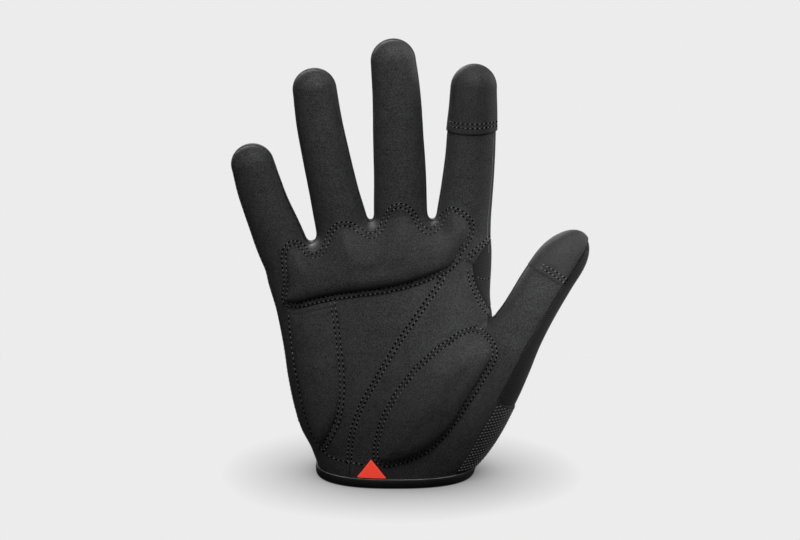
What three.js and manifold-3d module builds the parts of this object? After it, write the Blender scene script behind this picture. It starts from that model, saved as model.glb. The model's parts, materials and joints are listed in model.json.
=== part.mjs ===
// Right-hand cycling glove with full fingers, sewn from flat panels into a hollow hand.
// Lengths are in millimetres. The hem stands on z = 0 with the fingers up, the palm faces -Y and the thumb
// is towards +X. The origin is the middle of the wrist opening.
import * as THREE from "three";
import { mergeVertices } from "three/addons/utils/BufferGeometryUtils.js";
import Module from "manifold-3d";

const wasm = await Module();
wasm.setup();

// Size of the hand that the glove is cut for
const PALM_LENGTH = 121.5;
const HAND_WIDTH = 102.5;
const KNUCKLE_DEPTH = 28.8;
const KNUCKLE_DROP = 11.5;
const CUFF_WIDTH = 74.8;
const CUFF_DEPTH = 52.4;
const LITTLE_LENGTH = 77.8;
const RING_LENGTH = 105.1;
const MIDDLE_LENGTH = 117.1;
const INDEX_LENGTH = 105.4;
const THUMB_LENGTH = 111.6;
const LITTLE_WIDTH = 22.6;
const RING_WIDTH = 22.6;
const MIDDLE_WIDTH = 23.5;
const INDEX_WIDTH = 23.6;
const THUMB_WIDTH = 25.8;
const FINGER_CURL = 14;
const THUMB_FORWARD = 22;

// Cloth, padding and trim
const WALL = 1.6;
const GAP = 0.3;
const PAD_EDGE = 1;
const PAD_RISE = 2;
const PAD_SHOULDER = 9;
const PAD_BACKING = 4;
const CAP_THICKNESS = 1;
const PATCH_THICKNESS = 1.1;
const TAB_THICKNESS = 1.1;
const TAB_WIDTH = 13.6;
const TAB_HEIGHT = 9.4;
const BINDING_THICKNESS = 1.3;
const BINDING_HEIGHT = 4.2;
const FOURCHETTE_WIDTH = 10;
const INDEX_CAP_LENGTH = 32;
const THUMB_CAP_LENGTH = 26;

// Fineness of the faceted forms
const PALM_SIDES = 24;
const LIMB_SIDES = 12;
const LIMB_STOPS = 6;
const PAD_STEP = 6;

// Palm sections from hem to knuckles. share is of the height of the knuckle line, cuff is how much of the
// cuff's half size is in the section, left and right are the shares of HAND_WIDTH that are added to it.
const PALM_SECTIONS = [
  { share: 0, cuff: 1, left: 0, right: 0 },
  { share: 0.05, cuff: 0.95, left: 0.027, right: 0.047 },
  { share: 0.12, cuff: 0.88, left: 0.083, right: 0.112 },
  { share: 0.2, cuff: 0.81, left: 0.147, right: 0.166 },
  { share: 0.3, cuff: 0.73, left: 0.203, right: 0.205 },
  { share: 0.45, cuff: 0.585, left: 0.283, right: 0.239 },
  { share: 0.6, cuff: 0.42, left: 0.362, right: 0.279 },
  { share: 0.75, cuff: 0.27, left: 0.437, right: 0.324 },
  { share: 0.9, cuff: 0.1, left: 0.525, right: 0.382 },
  { share: 1, cuff: 0, left: 0.579, right: 0.42 },
];
const KNUCKLE_PEAK = 0.05;
const KNUCKLE_SPAN = 0.44;
const KNUCKLE_ROUND = 0.33;
const PALM_SQUARENESS = 2.5;

// Sections of a limb from its root to the centre of its rounded tip. bow, width and depth are shares of the
// limb's own width, and depth is the section's full size from palm side to back.
const FINGER_SECTIONS = [
  { share: 0, bow: 0, width: 1.17, depth: 1.03 },
  { share: 0.37, bow: 0.2, width: 1.06, depth: 0.97 },
  { share: 0.5, bow: 0.7, width: 1, depth: 0.93 },
  { share: 0.68, bow: 1, width: 0.955, depth: 0.893 },
  { share: 0.85, bow: 0.85, width: 0.92, depth: 0.86 },
  { share: 1, bow: 0.15, width: 0.89, depth: 0.834 },
];
const THUMB_SECTIONS = [
  { share: 0, bow: 0, width: 1.43, depth: 1.4 },
  { share: 0.28, bow: 0.2, width: 1.36, depth: 1.28 },
  { share: 0.41, bow: 0.45, width: 1.2, depth: 1.12 },
  { share: 0.54, bow: 1, width: 1.01, depth: 1.01 },
  { share: 0.7, bow: 0.85, width: 0.925, depth: 0.93 },
  { share: 0.85, bow: 0.2, width: 0.895, depth: 0.845 },
  { share: 1, bow: -0.4, width: 0.82, depth: 0.74 },
];
// How far the thumb leans to the palm's side, as shares of THUMB_FORWARD along its length
const THUMB_LEAN = [
  { share: 0, forward: 0.09 },
  { share: 0.28, forward: 0.32 },
  { share: 0.54, forward: 0.64 },
  { share: 0.8, forward: 0.86 },
  { share: 1, forward: 1 },
];
const CURL_START = 0.76;
const CURL_POWER = 1.5;

// root is where the limb starts, as shares of HAND_WIDTH and PALM_LENGTH, lean is in degrees towards the
// thumb, and bow is the sideways bend as a share of the limb's width.
const LIMBS = {
  little: { root: [-0.429, 0.691], lean: -17.7, length: LITTLE_LENGTH, width: LITTLE_WIDTH, bow: -0.05 },
  ring: { root: [-0.19, 0.741], lean: -10, length: RING_LENGTH, width: RING_WIDTH, bow: -0.073 },
  middle: { root: [0.041, 0.741], lean: -3.2, length: MIDDLE_LENGTH, width: MIDDLE_WIDTH, bow: 0.043 },
  index: { root: [0.291, 0.741], lean: 2.7, length: INDEX_LENGTH, width: INDEX_WIDTH, bow: 0.055 },
  thumb: { root: [0.293, 0.181], lean: 28.1, length: THUMB_LENGTH, width: THUMB_WIDTH, bow: -0.054 },
};

// Smooth curve through the rows of a table, read at a share.
function tween(rows, column, share) {
  const at = THREE.MathUtils.clamp(share, rows[0].share, rows.at(-1).share);
  const slope = (i) => {
    const before = rows[Math.max(i - 1, 0)];
    const after = rows[Math.min(i + 1, rows.length - 1)];
    return (after[column] - before[column]) / (after.share - before.share);
  };
  let i = 0;
  while (i < rows.length - 2 && rows[i + 1].share < at) i += 1;
  const run = rows[i + 1].share - rows[i].share;
  const u = (at - rows[i].share) / run;
  const rise = rows[i + 1][column] - rows[i][column];
  const ease = u * u * (3 - 2 * u);
  const bend = u * (1 - u) * run * ((1 - u) * slope(i) - u * slope(i + 1));
  return rows[i][column] + rise * ease + bend;
}

// The longest fingertip's height, which the curl of the fingers is measured up to
const GLOVE_HEIGHT = LIMBS.middle.root[1] * PALM_LENGTH
  + MIDDLE_LENGTH * Math.cos(THREE.MathUtils.degToRad(LIMBS.middle.lean));

// How far the fingers lean to the palm's side at a height
function curl(z) {
  const start = CURL_START * PALM_LENGTH;
  const share = Math.max(z - start, 0) / (GLOVE_HEIGHT - start);
  return -FINGER_CURL * share ** CURL_POWER;
}

function knuckleHeight(x) {
  const share = (x / HAND_WIDTH - KNUCKLE_PEAK) / KNUCKLE_SPAN;
  return PALM_LENGTH - KNUCKLE_DROP * share ** 2;
}

function palmSection(share) {
  const cuff = tween(PALM_SECTIONS, "cuff", share);
  return {
    left: cuff * CUFF_WIDTH / 2 + tween(PALM_SECTIONS, "left", share) * HAND_WIDTH,
    right: cuff * CUFF_WIDTH / 2 + tween(PALM_SECTIONS, "right", share) * HAND_WIDTH,
    depth: (cuff * CUFF_DEPTH + (1 - cuff) * KNUCKLE_DEPTH) / 2,
  };
}

// Directions and lengths that one limb is laid out on
function limbLine(name) {
  const limb = LIMBS[name];
  const lean = THREE.MathUtils.degToRad(limb.lean);
  const sections = name === "thumb" ? THUMB_SECTIONS : FINGER_SECTIONS;
  const end = sections.at(-1);
  const dome = (end.width + end.depth) / 4 * limb.width;
  return {
    ...limb,
    name,
    sections,
    dome,
    x: limb.root[0] * HAND_WIDTH,
    z: limb.root[1] * PALM_LENGTH,
    along: { x: Math.sin(lean), z: Math.cos(lean) },
    across: { x: Math.cos(lean), z: -Math.sin(lean) },
    straight: limb.length - dome,
  };
}

function limbForward(line, run, z) {
  if (line.name !== "thumb") return curl(z);
  return -THUMB_FORWARD * tween(THUMB_LEAN, "forward", run / line.length);
}

function limbSection(line, share) {
  return {
    bow: tween(line.sections, "bow", share) * line.bow * line.width,
    width: tween(line.sections, "width", share) * line.width / 2,
    depth: tween(line.sections, "depth", share) * line.width / 2,
  };
}

// Closed form through rings of equal length, each end closed by a fan on its middle point.
function loft(rings) {
  const count = rings[0].length;
  const points = rings.flat();
  const faces = [];
  for (let r = 0; r < rings.length - 1; r += 1) {
    for (let i = 0; i < count; i += 1) {
      const a = r * count + i;
      const b = r * count + (i + 1) % count;
      faces.push(a, b, b + count, a, b + count, a + count);
    }
  }
  for (const [start, turn] of [[0, false], [(rings.length - 1) * count, true]]) {
    const middle = new THREE.Vector3();
    for (let i = 0; i < count; i += 1) middle.addScaledVector(points[start + i], 1 / count);
    points.push(middle);
    for (let i = 0; i < count; i += 1) {
      const pair = [start + i, start + (i + 1) % count];
      faces.push(points.length - 1, ...(turn ? pair : pair.reverse()));
    }
  }
  return { points, faces };
}

// A manifold solid of a triangle list, with its faces turned outwards.
function toSolid({ points, faces }) {
  let volume = 0;
  for (let f = 0; f < faces.length; f += 3) {
    const [a, b, c] = [points[faces[f]], points[faces[f + 1]], points[faces[f + 2]]];
    volume += a.dot(new THREE.Vector3().crossVectors(b, c));
  }
  const outward = volume > 0 ? faces : faces.toReversed();
  const vertProperties = new Float32Array(points.flatMap((p) => [p.x, p.y, p.z]));
  return new wasm.Manifold(new wasm.Mesh({ numProp: 3, vertProperties, triVerts: new Uint32Array(outward) }));
}

function geometrySolid(geometry) {
  geometry.deleteAttribute("normal");
  geometry.deleteAttribute("uv");
  const merged = mergeVertices(geometry, 1e-4);
  const place = merged.getAttribute("position");
  const index = Array.from({ length: place.count }, (_, i) => i);
  const points = index.map((i) => new THREE.Vector3().fromBufferAttribute(place, i));
  return toSolid({ points, faces: Array.from(merged.index.array) });
}

const joined = (solids) => solids.reduce((all, solid) => all.add(solid));
const without = (solid, others) => others.reduce((rest, other) => rest.subtract(other), solid);

// Larger than the glove on every side, for the ends of cutting prisms
const REACH = 2 * (HAND_WIDTH + PALM_LENGTH);

function extruded(outline, depth) {
  const shape = new THREE.Shape(outline.map(([u, v]) => new THREE.Vector2(u, v)));
  return new THREE.ExtrudeGeometry(shape, { depth, bevelEnabled: false });
}

// Everything behind an outline of [x, z] points, through the whole depth of the glove
function prismAlongY(outline) {
  return geometrySolid(extruded(outline, REACH).rotateX(Math.PI / 2).translate(0, REACH / 2, 0));
}

// Everything beside an outline of [y, z] points, through the whole width of the glove
function prismAlongX(outline) {
  const axes = [new THREE.Vector3(0, 1, 0), new THREE.Vector3(0, 0, 1), new THREE.Vector3(1, 0, 0)];
  const turn = new THREE.Matrix4().makeBasis(...axes);
  return geometrySolid(extruded(outline, REACH).applyMatrix4(turn).translate(-REACH / 2, 0, 0));
}

// The outline moved outwards by a distance, corner by corner.
function grown(outline, distance) {
  const turn = THREE.ShapeUtils.area(outline.map(([x, y]) => new THREE.Vector2(x, y))) > 0 ? 1 : -1;
  const edges = outline.map(([x, y], i) => {
    const [nextX, nextY] = outline[(i + 1) % outline.length];
    const length = Math.hypot(nextX - x, nextY - y);
    return [turn * (nextY - y) / length, turn * (x - nextX) / length];
  });
  return outline.map(([x, y], i) => {
    const [before, after] = [edges.at(i - 1), edges[i]];
    const scale = distance / Math.max(1 + before[0] * after[0] + before[1] * after[1], 0.4);
    return [x + (before[0] + after[0]) * scale, y + (before[1] + after[1]) * scale];
  });
}

// Palm and back of the hand as one closed form, moved outwards by an offset, from below the hem up to the
// rounded knuckle line.
function palmForm(offset) {
  const rounding = KNUCKLE_ROUND * KNUCKLE_DEPTH;
  const ring = (share, turn) => {
    const section = palmSection(share);
    const inset = rounding * (1 - Math.cos(turn)) - offset;
    const halfWidth = (section.left + section.right) / 2 - inset;
    const middle = (section.right - section.left) / 2;
    return Array.from({ length: PALM_SIDES }, (_, i) => {
      const angle = 2 * Math.PI * i / PALM_SIDES;
      const round = (value) => Math.sign(value) * Math.abs(value) ** (2 / PALM_SQUARENESS);
      const x = middle + halfWidth * round(Math.cos(angle));
      const z = share * (knuckleHeight(x) - rounding) + (rounding + offset) * Math.sin(turn);
      const y = (section.depth - inset) * round(Math.sin(angle)) + curl(z);
      return new THREE.Vector3(x, y, z);
    });
  };
  const rings = [-0.08, ...PALM_SECTIONS.map((row) => row.share)].map((share) => ring(share, 0));
  for (const step of [1, 2, 3]) rings.push(ring(1, step * Math.PI / 6));
  return toSolid(loft(rings));
}

// One finger or the thumb as a closed form with a rounded tip, moved outwards by an offset
function limbForm(name, offset) {
  const line = limbLine(name);
  const ring = (share, beyond) => {
    const section = limbSection(line, share);
    const shrink = Math.sqrt(1 - beyond ** 2);
    const run = share * line.straight + beyond * (line.dome + offset);
    return Array.from({ length: LIMB_SIDES }, (_, i) => {
      const angle = 2 * Math.PI * i / LIMB_SIDES;
      const side = section.bow + (section.width + offset) * shrink * Math.cos(angle);
      const x = line.x + line.along.x * run + line.across.x * side;
      const z = line.z + line.along.z * run + line.across.z * side;
      const y = (section.depth + offset) * shrink * Math.sin(angle) + limbForward(line, run, z);
      return new THREE.Vector3(x, y, z);
    });
  };
  const rings = [];
  for (let i = 0; i <= LIMB_STOPS; i += 1) rings.push(ring(i / LIMB_STOPS, 0));
  for (const beyond of [0.42, 0.74, 0.94]) rings.push(ring(1, beyond));
  return toSolid(loft(rings));
}

// The whole hand, moved outwards by an offset
function handForm(offset) {
  return joined([palmForm(offset), ...Object.keys(LIMBS).map((name) => limbForm(name, offset))]);
}

// Points on the hand as [x, z]: by shares of its width and length, or by shares along and across a limb
const onHand = (x, z) => [x * HAND_WIDTH, z * PALM_LENGTH];
function onLimb(name, run, across) {
  const line = limbLine(name);
  const [along, aside] = [run * line.length, across * line.width];
  return [
    line.x + line.along.x * along + line.across.x * aside,
    line.z + line.along.z * along + line.across.z * aside,
  ];
}

// Profiles of [y, z] points up the glove, a step for each bend
function profile(depthAt) {
  const steps = 13;
  const [low, high] = [-0.1 * PALM_LENGTH, 1.1 * GLOVE_HEIGHT];
  return Array.from({ length: steps + 1 }, (_, i) => {
    const z = low + (high - low) * i / steps;
    return [depthAt(z), z];
  });
}

// Everything to the palm's side of a profile, or to the back's side of it
function frontOf(depthAt) {
  const edge = profile(depthAt);
  return prismAlongX([...edge, [-REACH / 2, edge.at(-1)[1]], [-REACH / 2, edge[0][1]]]);
}
function backOf(depthAt) {
  const edge = profile(depthAt);
  return prismAlongX([...edge, [REACH / 2, edge.at(-1)[1]], [REACH / 2, edge[0][1]]]);
}

// The side seam runs a little to the palm's side of the middle all the way up
const SIDE_SEAM = -0.2;
function sideSeam(z) {
  const section = palmSection(Math.min(z / PALM_LENGTH, 1));
  const half = z < PALM_LENGTH ? section.depth : KNUCKLE_DEPTH / 2;
  return SIDE_SEAM * half + curl(z);
}
// The thumb's own middle, which its seam on the crotch side follows
function thumbMiddle(z) {
  const line = limbLine("thumb");
  const run = Math.max((z - line.z) / line.along.z, 0);
  return Math.min(limbForward(line, run, z), sideSeam(z));
}

// Seams on the palm
const DIAGONAL_SEAM = [
  [0.229, 0.836], [0.134, 0.714], [0.044, 0.61], [-0.052, 0.484], [-0.143, 0.352], [-0.194, 0.226],
  [-0.21, 0.1],
].map((point) => onHand(...point));
const THUMB_SEAM = [
  [0.21, 0.25], [0.33, 0.235], [0.49, 0.18], [0.66, 0.18], [0.81, 0.18], [0.94, 0.21], [1.1, 0.2],
].map((point) => onLimb("thumb", ...point));
const THUMB_BACK_SEAM = [
  [0.21, 0.2], [0.266, -0.15], [0.334, -0.42], [0.42, -0.535], [0.52, -0.58], [0.7, -0.8], [1.1, -1],
].map((point) => onLimb("thumb", ...point));
const CROTCH = onLimb("thumb", 0.515, -0.57);
const GUSSET_EDGE = [[0.42, 0.93], [0.343, 0.852], [0.354, 0.783], [0.381, 0.735], [0.409, 0.685]].map(
  (point) => onHand(...point),
);

const GUSSET_BACK = 0.15;
function gussetRegion(grow) {
  const outer = [onLimb("thumb", 0.515, -0.5), onHand(0.46, 0.72), onHand(0.46, 0.93)];
  const outline = prismAlongY(grown([...GUSSET_EDGE, ...outer], grow));
  return outline.intersect(frontOf((z) => GUSSET_BACK * KNUCKLE_DEPTH + curl(z) + grow));
}

function thumbBackRegion(grow) {
  const ends = [onLimb("thumb", 1.1, 2), onLimb("thumb", 0.21, 2)];
  const front = prismAlongY(grown([...THUMB_SEAM, ...ends], grow));
  const back = prismAlongY(grown([...THUMB_BACK_SEAM, ...ends], grow));
  const frontHalf = front.intersect(frontOf((z) => thumbMiddle(z) + 1));
  return frontHalf.add(back.intersect(backOf((z) => thumbMiddle(z) - grow)));
}

function thumbPanelRegion(grow) {
  const [far, low] = [REACH / 3, -0.1 * PALM_LENGTH];
  const bottom = [DIAGONAL_SEAM.at(-1)[0], low];
  const top = onHand(0.3, 0.868);
  const edge = [...GUSSET_EDGE].slice(1).reverse();
  const outline = [...DIAGONAL_SEAM, bottom, [far, low], [far, CROTCH[1]], CROTCH, ...edge, top];
  const palm = prismAlongY(grown(outline, grow)).intersect(frontOf((z) => sideSeam(z) + grow - GAP / 2));
  const ball = [[0.45, -0.7], [1.1, -1.5], [1.1, 1], [0.45, 1]].map((point) => onLimb("thumb", ...point));
  return palm.add(prismAlongY(grown(ball, grow)).intersect(frontOf((z) => thumbMiddle(z) + grow - GAP)));
}

// Wall between two neighbouring fingers, from the side seam backwards, tapering to a point below the tips
const FOURCHETTE_TOP = 0.84;
const FOURCHETTE_BELOW = 0.105;
const FOURCHETTE_TAPER = { below: 5, above: 2.2 };
function fourchetteRegion(first, second, grow) {
  const [one, two] = [first, second].map((name) => onLimb(name, FOURCHETTE_TOP, 0));
  const low = knuckleHeight((one[0] + two[0]) / 2) - FOURCHETTE_BELOW * PALM_LENGTH;
  const high = Math.min(one[1], two[1]);
  const width = (z) => {
    const share = THREE.MathUtils.clamp((z - low) / (high - low), 0, 1);
    const taper = Math.min(FOURCHETTE_TAPER.below * share, FOURCHETTE_TAPER.above * (1 - share));
    return FOURCHETTE_WIDTH * Math.min(1, taper);
  };
  const steps = 10;
  const heights = Array.from({ length: steps + 1 }, (_, i) => low + (high - low) * i / steps);
  const frontEdge = heights.map((z) => [sideSeam(z), z]);
  const backEdge = heights.slice(1, -1).map((z) => [sideSeam(z) + width(z), z]).reverse();
  const lens = prismAlongX(grown([...frontEdge, ...backEdge], grow));
  const wedge = [onLimb(first, -0.1, 0), onLimb(second, -0.1, 0), onLimb(second, 1, 0), onLimb(first, 1, 0)];
  return lens.intersect(prismAlongY(wedge));
}

const FOURCHETTES = [["little", "ring"], ["ring", "middle"], ["middle", "index"]];

// Depth of the palm's surface at a point of the front view
function frontSurface(x, z) {
  const share = THREE.MathUtils.clamp(z / knuckleHeight(x), 0, 1);
  const section = palmSection(share);
  const bulge = (value, power) => Math.max(1 - Math.abs(value) ** power, 0.02) ** (1 / power);
  const middle = (section.right - section.left) / 2;
  const palm = bulge((x - middle) / ((section.left + section.right) / 2), PALM_SQUARENESS);
  const depths = [curl(z) - section.depth * palm];
  for (const name of Object.keys(LIMBS)) {
    const line = limbLine(name);
    const run = (x - line.x) * line.along.x + (z - line.z) * line.along.z;
    const limb = limbSection(line, run / line.straight);
    const side = (x - line.x) * line.across.x + (z - line.z) * line.across.z - limb.bow;
    const inside = run > 0 && run < line.straight && Math.abs(side) < limb.width;
    if (inside) depths.push(limbForward(line, run, z) - limb.depth * bulge(side / limb.width, 2));
  }
  return Math.min(...depths);
}

function distanceInside(outline, x, z) {
  const distances = outline.map(([ax, az], i) => {
    const [bx, bz] = outline[(i + 1) % outline.length];
    const along = ((x - ax) * (bx - ax) + (z - az) * (bz - az)) / ((bx - ax) ** 2 + (bz - az) ** 2);
    const share = THREE.MathUtils.clamp(along, 0, 1);
    return Math.hypot(x - ax - share * (bx - ax), z - az - share * (bz - az));
  });
  return Math.min(...distances);
}

// Padded panel over an outline: low at its seam and crowned within the shoulder
function pad(outline, below) {
  const xs = outline.map(([x]) => x);
  const zs = outline.map(([, z]) => z);
  const [left, right] = [Math.min(...xs) - 1, Math.max(...xs) + 1];
  const [low, high] = [Math.min(...zs) - 1, Math.max(...zs) + 1];
  const columns = Math.ceil((right - left) / PAD_STEP);
  const rows = Math.ceil((high - low) / PAD_STEP);
  const polygon = outline.map(([x, z]) => new THREE.Vector2(x, z));
  const points = [];
  for (let r = 0; r <= rows; r += 1) {
    for (let c = 0; c <= columns; c += 1) {
      const x = left + (right - left) * c / columns;
      const z = low + (high - low) * r / rows;
      const depth = isInside(polygon, x, z) ? distanceInside(outline, x, z) : 0;
      const crown = THREE.MathUtils.smoothstep(depth, 0, PAD_SHOULDER);
      points.push(new THREE.Vector3(x, frontSurface(x, z) - GAP - PAD_EDGE - PAD_RISE * crown, z));
    }
  }
  const count = points.length;
  for (let i = 0; i < count; i += 1) {
    const { x, z } = points[i];
    points.push(new THREE.Vector3(x, frontSurface(x, z) + PAD_BACKING, z));
  }
  const faces = [];
  const quad = (a, b, c, d) => faces.push(a, b, c, a, c, d);
  const at = (r, c) => r * (columns + 1) + c;
  for (let r = 0; r < rows; r += 1) {
    for (let c = 0; c < columns; c += 1) {
      quad(at(r, c), at(r, c + 1), at(r + 1, c + 1), at(r + 1, c));
      quad(count + at(r, c), count + at(r + 1, c), count + at(r + 1, c + 1), count + at(r, c + 1));
    }
  }
  const rim = [];
  for (let c = 0; c < columns; c += 1) rim.push(at(0, c));
  for (let r = 0; r < rows; r += 1) rim.push(at(r, columns));
  for (let c = columns; c > 0; c -= 1) rim.push(at(rows, c));
  for (let r = rows; r > 0; r -= 1) rim.push(at(r, 0));
  rim.forEach((a, i) => {
    const b = rim[(i + 1) % rim.length];
    quad(a, count + a, count + b, b);
  });
  return toSolid({ points, faces }).intersect(prismAlongY(outline)).subtract(below);
}

function isInside(polygon, x, z) {
  let inside = false;
  polygon.forEach((a, i) => {
    const b = polygon[(i + 1) % polygon.length];
    const crosses = (a.y > z) !== (b.y > z) && x < a.x + (b.x - a.x) * (z - a.y) / (b.y - a.y);
    if (crosses) inside = !inside;
  });
  return inside;
}

// Closed smooth outline through a few points of the hand
function smoothOutline(points, count) {
  const corners = points.map(([x, z]) => new THREE.Vector3(...onHand(x, z), 0));
  const curve = new THREE.CatmullRomCurve3(corners, true, "centripetal");
  return curve.getSpacedPoints(count).slice(0, -1).map((p) => [p.x, p.y]);
}

// Upper seam of the pad under the fingers: a peak below each finger and a valley below each crotch
const SCALLOPS = [
  { x: -0.495, z: 0.87 }, { x: -0.47, z: 0.93 }, { x: -0.365, z: 0.884 }, { x: -0.235, z: 1.007 },
  { x: -0.113, z: 0.964 }, { x: 0.014, z: 1.078 }, { x: 0.148, z: 0.976 }, { x: 0.273, z: 1.064 },
  { x: 0.342, z: 0.985 },
];
function metacarpalOutline() {
  const edge = [];
  SCALLOPS.slice(1).forEach((to, i) => {
    const from = SCALLOPS[i];
    for (const step of [0, 0.25, 0.5, 0.75]) {
      const ease = (1 - Math.cos(Math.PI * step)) / 2;
      edge.push(onHand(from.x + (to.x - from.x) * step, from.z + (to.z - from.z) * ease));
    }
  });
  const lower = [[0.342, 0.985], [0.29, 0.91], [0.229, 0.836], [0.13, 0.804], [-0.07, 0.762], [-0.27, 0.737]];
  return [...edge, ...lower.map((point) => onHand(...point)), onHand(-0.485, 0.7)];
}
const ULNAR_OUTLINE = [
  [-0.475, 0.672], [-0.375, 0.69], [-0.297, 0.71], [-0.272, 0.64], [-0.258, 0.54], [-0.25, 0.4],
  [-0.262, 0.28], [-0.3, 0.19], [-0.345, 0.13], [-0.375, 0.19], [-0.408, 0.27], [-0.44, 0.4],
  [-0.462, 0.54],
];
const THENAR_OUTLINE = [
  [-0.05, 0.115], [0.08, 0.13], [0.19, 0.19], [0.3, 0.31], [0.38, 0.42], [0.427, 0.53], [0.395, 0.59],
  [0.31, 0.602], [0.21, 0.555], [0.1, 0.48], [0.015, 0.385], [-0.055, 0.27], [-0.085, 0.17],
];

const MATERIALS = {
  suede: { color: 0x2e2e30, roughness: 0.95, metalness: 0 },
  stretch: { color: 0x17171a, roughness: 0.9, metalness: 0 },
  smooth: { color: 0x101012, roughness: 0.55, metalness: 0 },
  tab: { color: 0xe63a2a, roughness: 0.6, metalness: 0 },
};

const group = new THREE.Group();

// Adds a solid as a named mesh. Snippets that a cut leaves beside the panel fall away.
function addPiece(name, solid, material) {
  const bodies = solid.decompose().sort((a, b) => b.volume() - a.volume());
  const mesh = bodies[0].getMesh();
  const geometry = new THREE.BufferGeometry();
  geometry.setAttribute("position", new THREE.BufferAttribute(mesh.vertProperties, 3));
  geometry.setIndex(new THREE.BufferAttribute(mesh.triVerts, 1));
  geometry.computeVertexNormals();
  const piece = new THREE.Mesh(geometry, new THREE.MeshStandardMaterial(MATERIALS[material]));
  piece.name = name;
  group.add(piece);
}

const outside = handForm(0);
const clearance = handForm(GAP);
const inside = handForm(-WALL);
const hem = prismAlongX([[-REACH / 2, -REACH], [REACH / 2, -REACH], [REACH / 2, 0], [-REACH / 2, 0]]);
const belowHem = hem.translate([0, 0, BINDING_THICKNESS + GAP]);
const shell = outside.subtract(inside).subtract(belowHem);

function addShellPanels() {
  const walls = FOURCHETTES.map(([first, second]) => fourchetteRegion(first, second, 0));
  const taken = joined([
    gussetRegion(GAP),
    thumbBackRegion(GAP),
    ...FOURCHETTES.map(([first, second]) => fourchetteRegion(first, second, GAP)),
  ]);
  const open = shell.subtract(taken);
  const rest = open.subtract(thumbPanelRegion(GAP));
  addPiece("palm_panel", rest.intersect(frontOf((z) => sideSeam(z) - GAP / 2)), "suede");
  addPiece("thumb_panel", open.intersect(thumbPanelRegion(0)), "suede");
  addPiece("thumb_back", shell.subtract(gussetRegion(GAP)).intersect(thumbBackRegion(0)), "stretch");
  addPiece("thumb_gusset", shell.intersect(gussetRegion(0)), "stretch");
  FOURCHETTES.forEach(([first, second], i) => {
    addPiece(`fourchette_${first}_${second}`, shell.intersect(walls[i]), "stretch");
  });
  addPiece("back_panel", rest.intersect(backOf((z) => sideSeam(z) + GAP / 2)), "stretch");
}

function addPads() {
  addPiece("metacarpal_pad", pad(metacarpalOutline(), clearance), "suede");
  addPiece("ulnar_pad", pad(smoothOutline(ULNAR_OUTLINE, 30), clearance), "suede");
  addPiece("thenar_pad", pad(smoothOutline(THENAR_OUTLINE, 32), clearance), "suede");
}

// How far round the side of the wrist the patch reaches, as a share of the cuff's depth
const PATCH_BACK = 0.15;
// Where the tab sits, as a share of the cuff's width from its middle
const TAB_PLACE = -0.152;

// A thin layer that lies on the outside of the shell
const layer = (thickness) => handForm(GAP + thickness).subtract(clearance);

function addTrim() {
  const onFront = (z) => curl(z) + 2 * WALL;
  const indexStart = 1 - INDEX_CAP_LENGTH / INDEX_LENGTH;
  const indexCap = [[indexStart, -0.7], [1.2, -0.7], [1.2, 0.7], [indexStart, 0.7]];
  const indexPrism = prismAlongY(indexCap.map((point) => onLimb("index", ...point)));
  const indexLayer = layer(CAP_THICKNESS).intersect(frontOf(onFront));
  addPiece("index_tip_cap", indexLayer.intersect(indexPrism), "suede");

  const thumbStart = 1 - THUMB_CAP_LENGTH / THUMB_LENGTH;
  const thumbCap = [[thumbStart, -0.7], [1.2, -0.7], [1.2, 0.17], [thumbStart, 0.17]];
  const thumbPrism = prismAlongY(thumbCap.map((point) => onLimb("thumb", ...point)));
  const thumbLayer = layer(CAP_THICKNESS).intersect(frontOf((z) => thumbMiddle(z)));
  addPiece("thumb_tip_cap", thumbLayer.intersect(thumbPrism), "suede");

  const low = BINDING_HEIGHT + GAP;
  const patchTop = [[0.454, 0.323], [0.53, 0.285], [0.9, 0.15]].map((point) => onHand(...point));
  const patch = [[0.375 * CUFF_WIDTH, low], ...patchTop, [HAND_WIDTH, low]];
  const patchLayer = layer(PATCH_THICKNESS).intersect(frontOf(() => PATCH_BACK * CUFF_DEPTH));
  addPiece("wrist_patch", patchLayer.intersect(prismAlongY(patch)), "stretch");

  const middle = TAB_PLACE * CUFF_WIDTH;
  const tab = [[middle - TAB_WIDTH / 2, low], [middle + TAB_WIDTH / 2, low], [middle, low + TAB_HEIGHT]];
  const tabLayer = layer(TAB_THICKNESS).intersect(frontOf(() => 0));
  addPiece("pull_tab", tabLayer.intersect(prismAlongY(tab)), "tab");
}

// Binding folded over the hem, open at the top for the edge of the shell
function addBinding() {
  const outer = palmForm(GAP + BINDING_THICKNESS).subtract(palmForm(-WALL - GAP - BINDING_THICKNESS));
  const fold = hem.translate([0, 0, BINDING_THICKNESS]);
  const slot = palmForm(GAP).subtract(palmForm(-WALL - GAP)).subtract(fold);
  const above = hem.mirror([0, 0, 1]).translate([0, 0, BINDING_HEIGHT]);
  addPiece("cuff_binding", without(outer, [hem, above, slot]), "smooth");
}

addShellPanels();
addPads();
addTrim();
addBinding();

export default group;
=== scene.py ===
"""Full-finger cycling glove for the right hand, standing on its cuff: panels, pads, trim and stitches."""

import json
import math

import bpy
import numpy as np
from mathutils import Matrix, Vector
from mathutils.bvhtree import BVHTree

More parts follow.
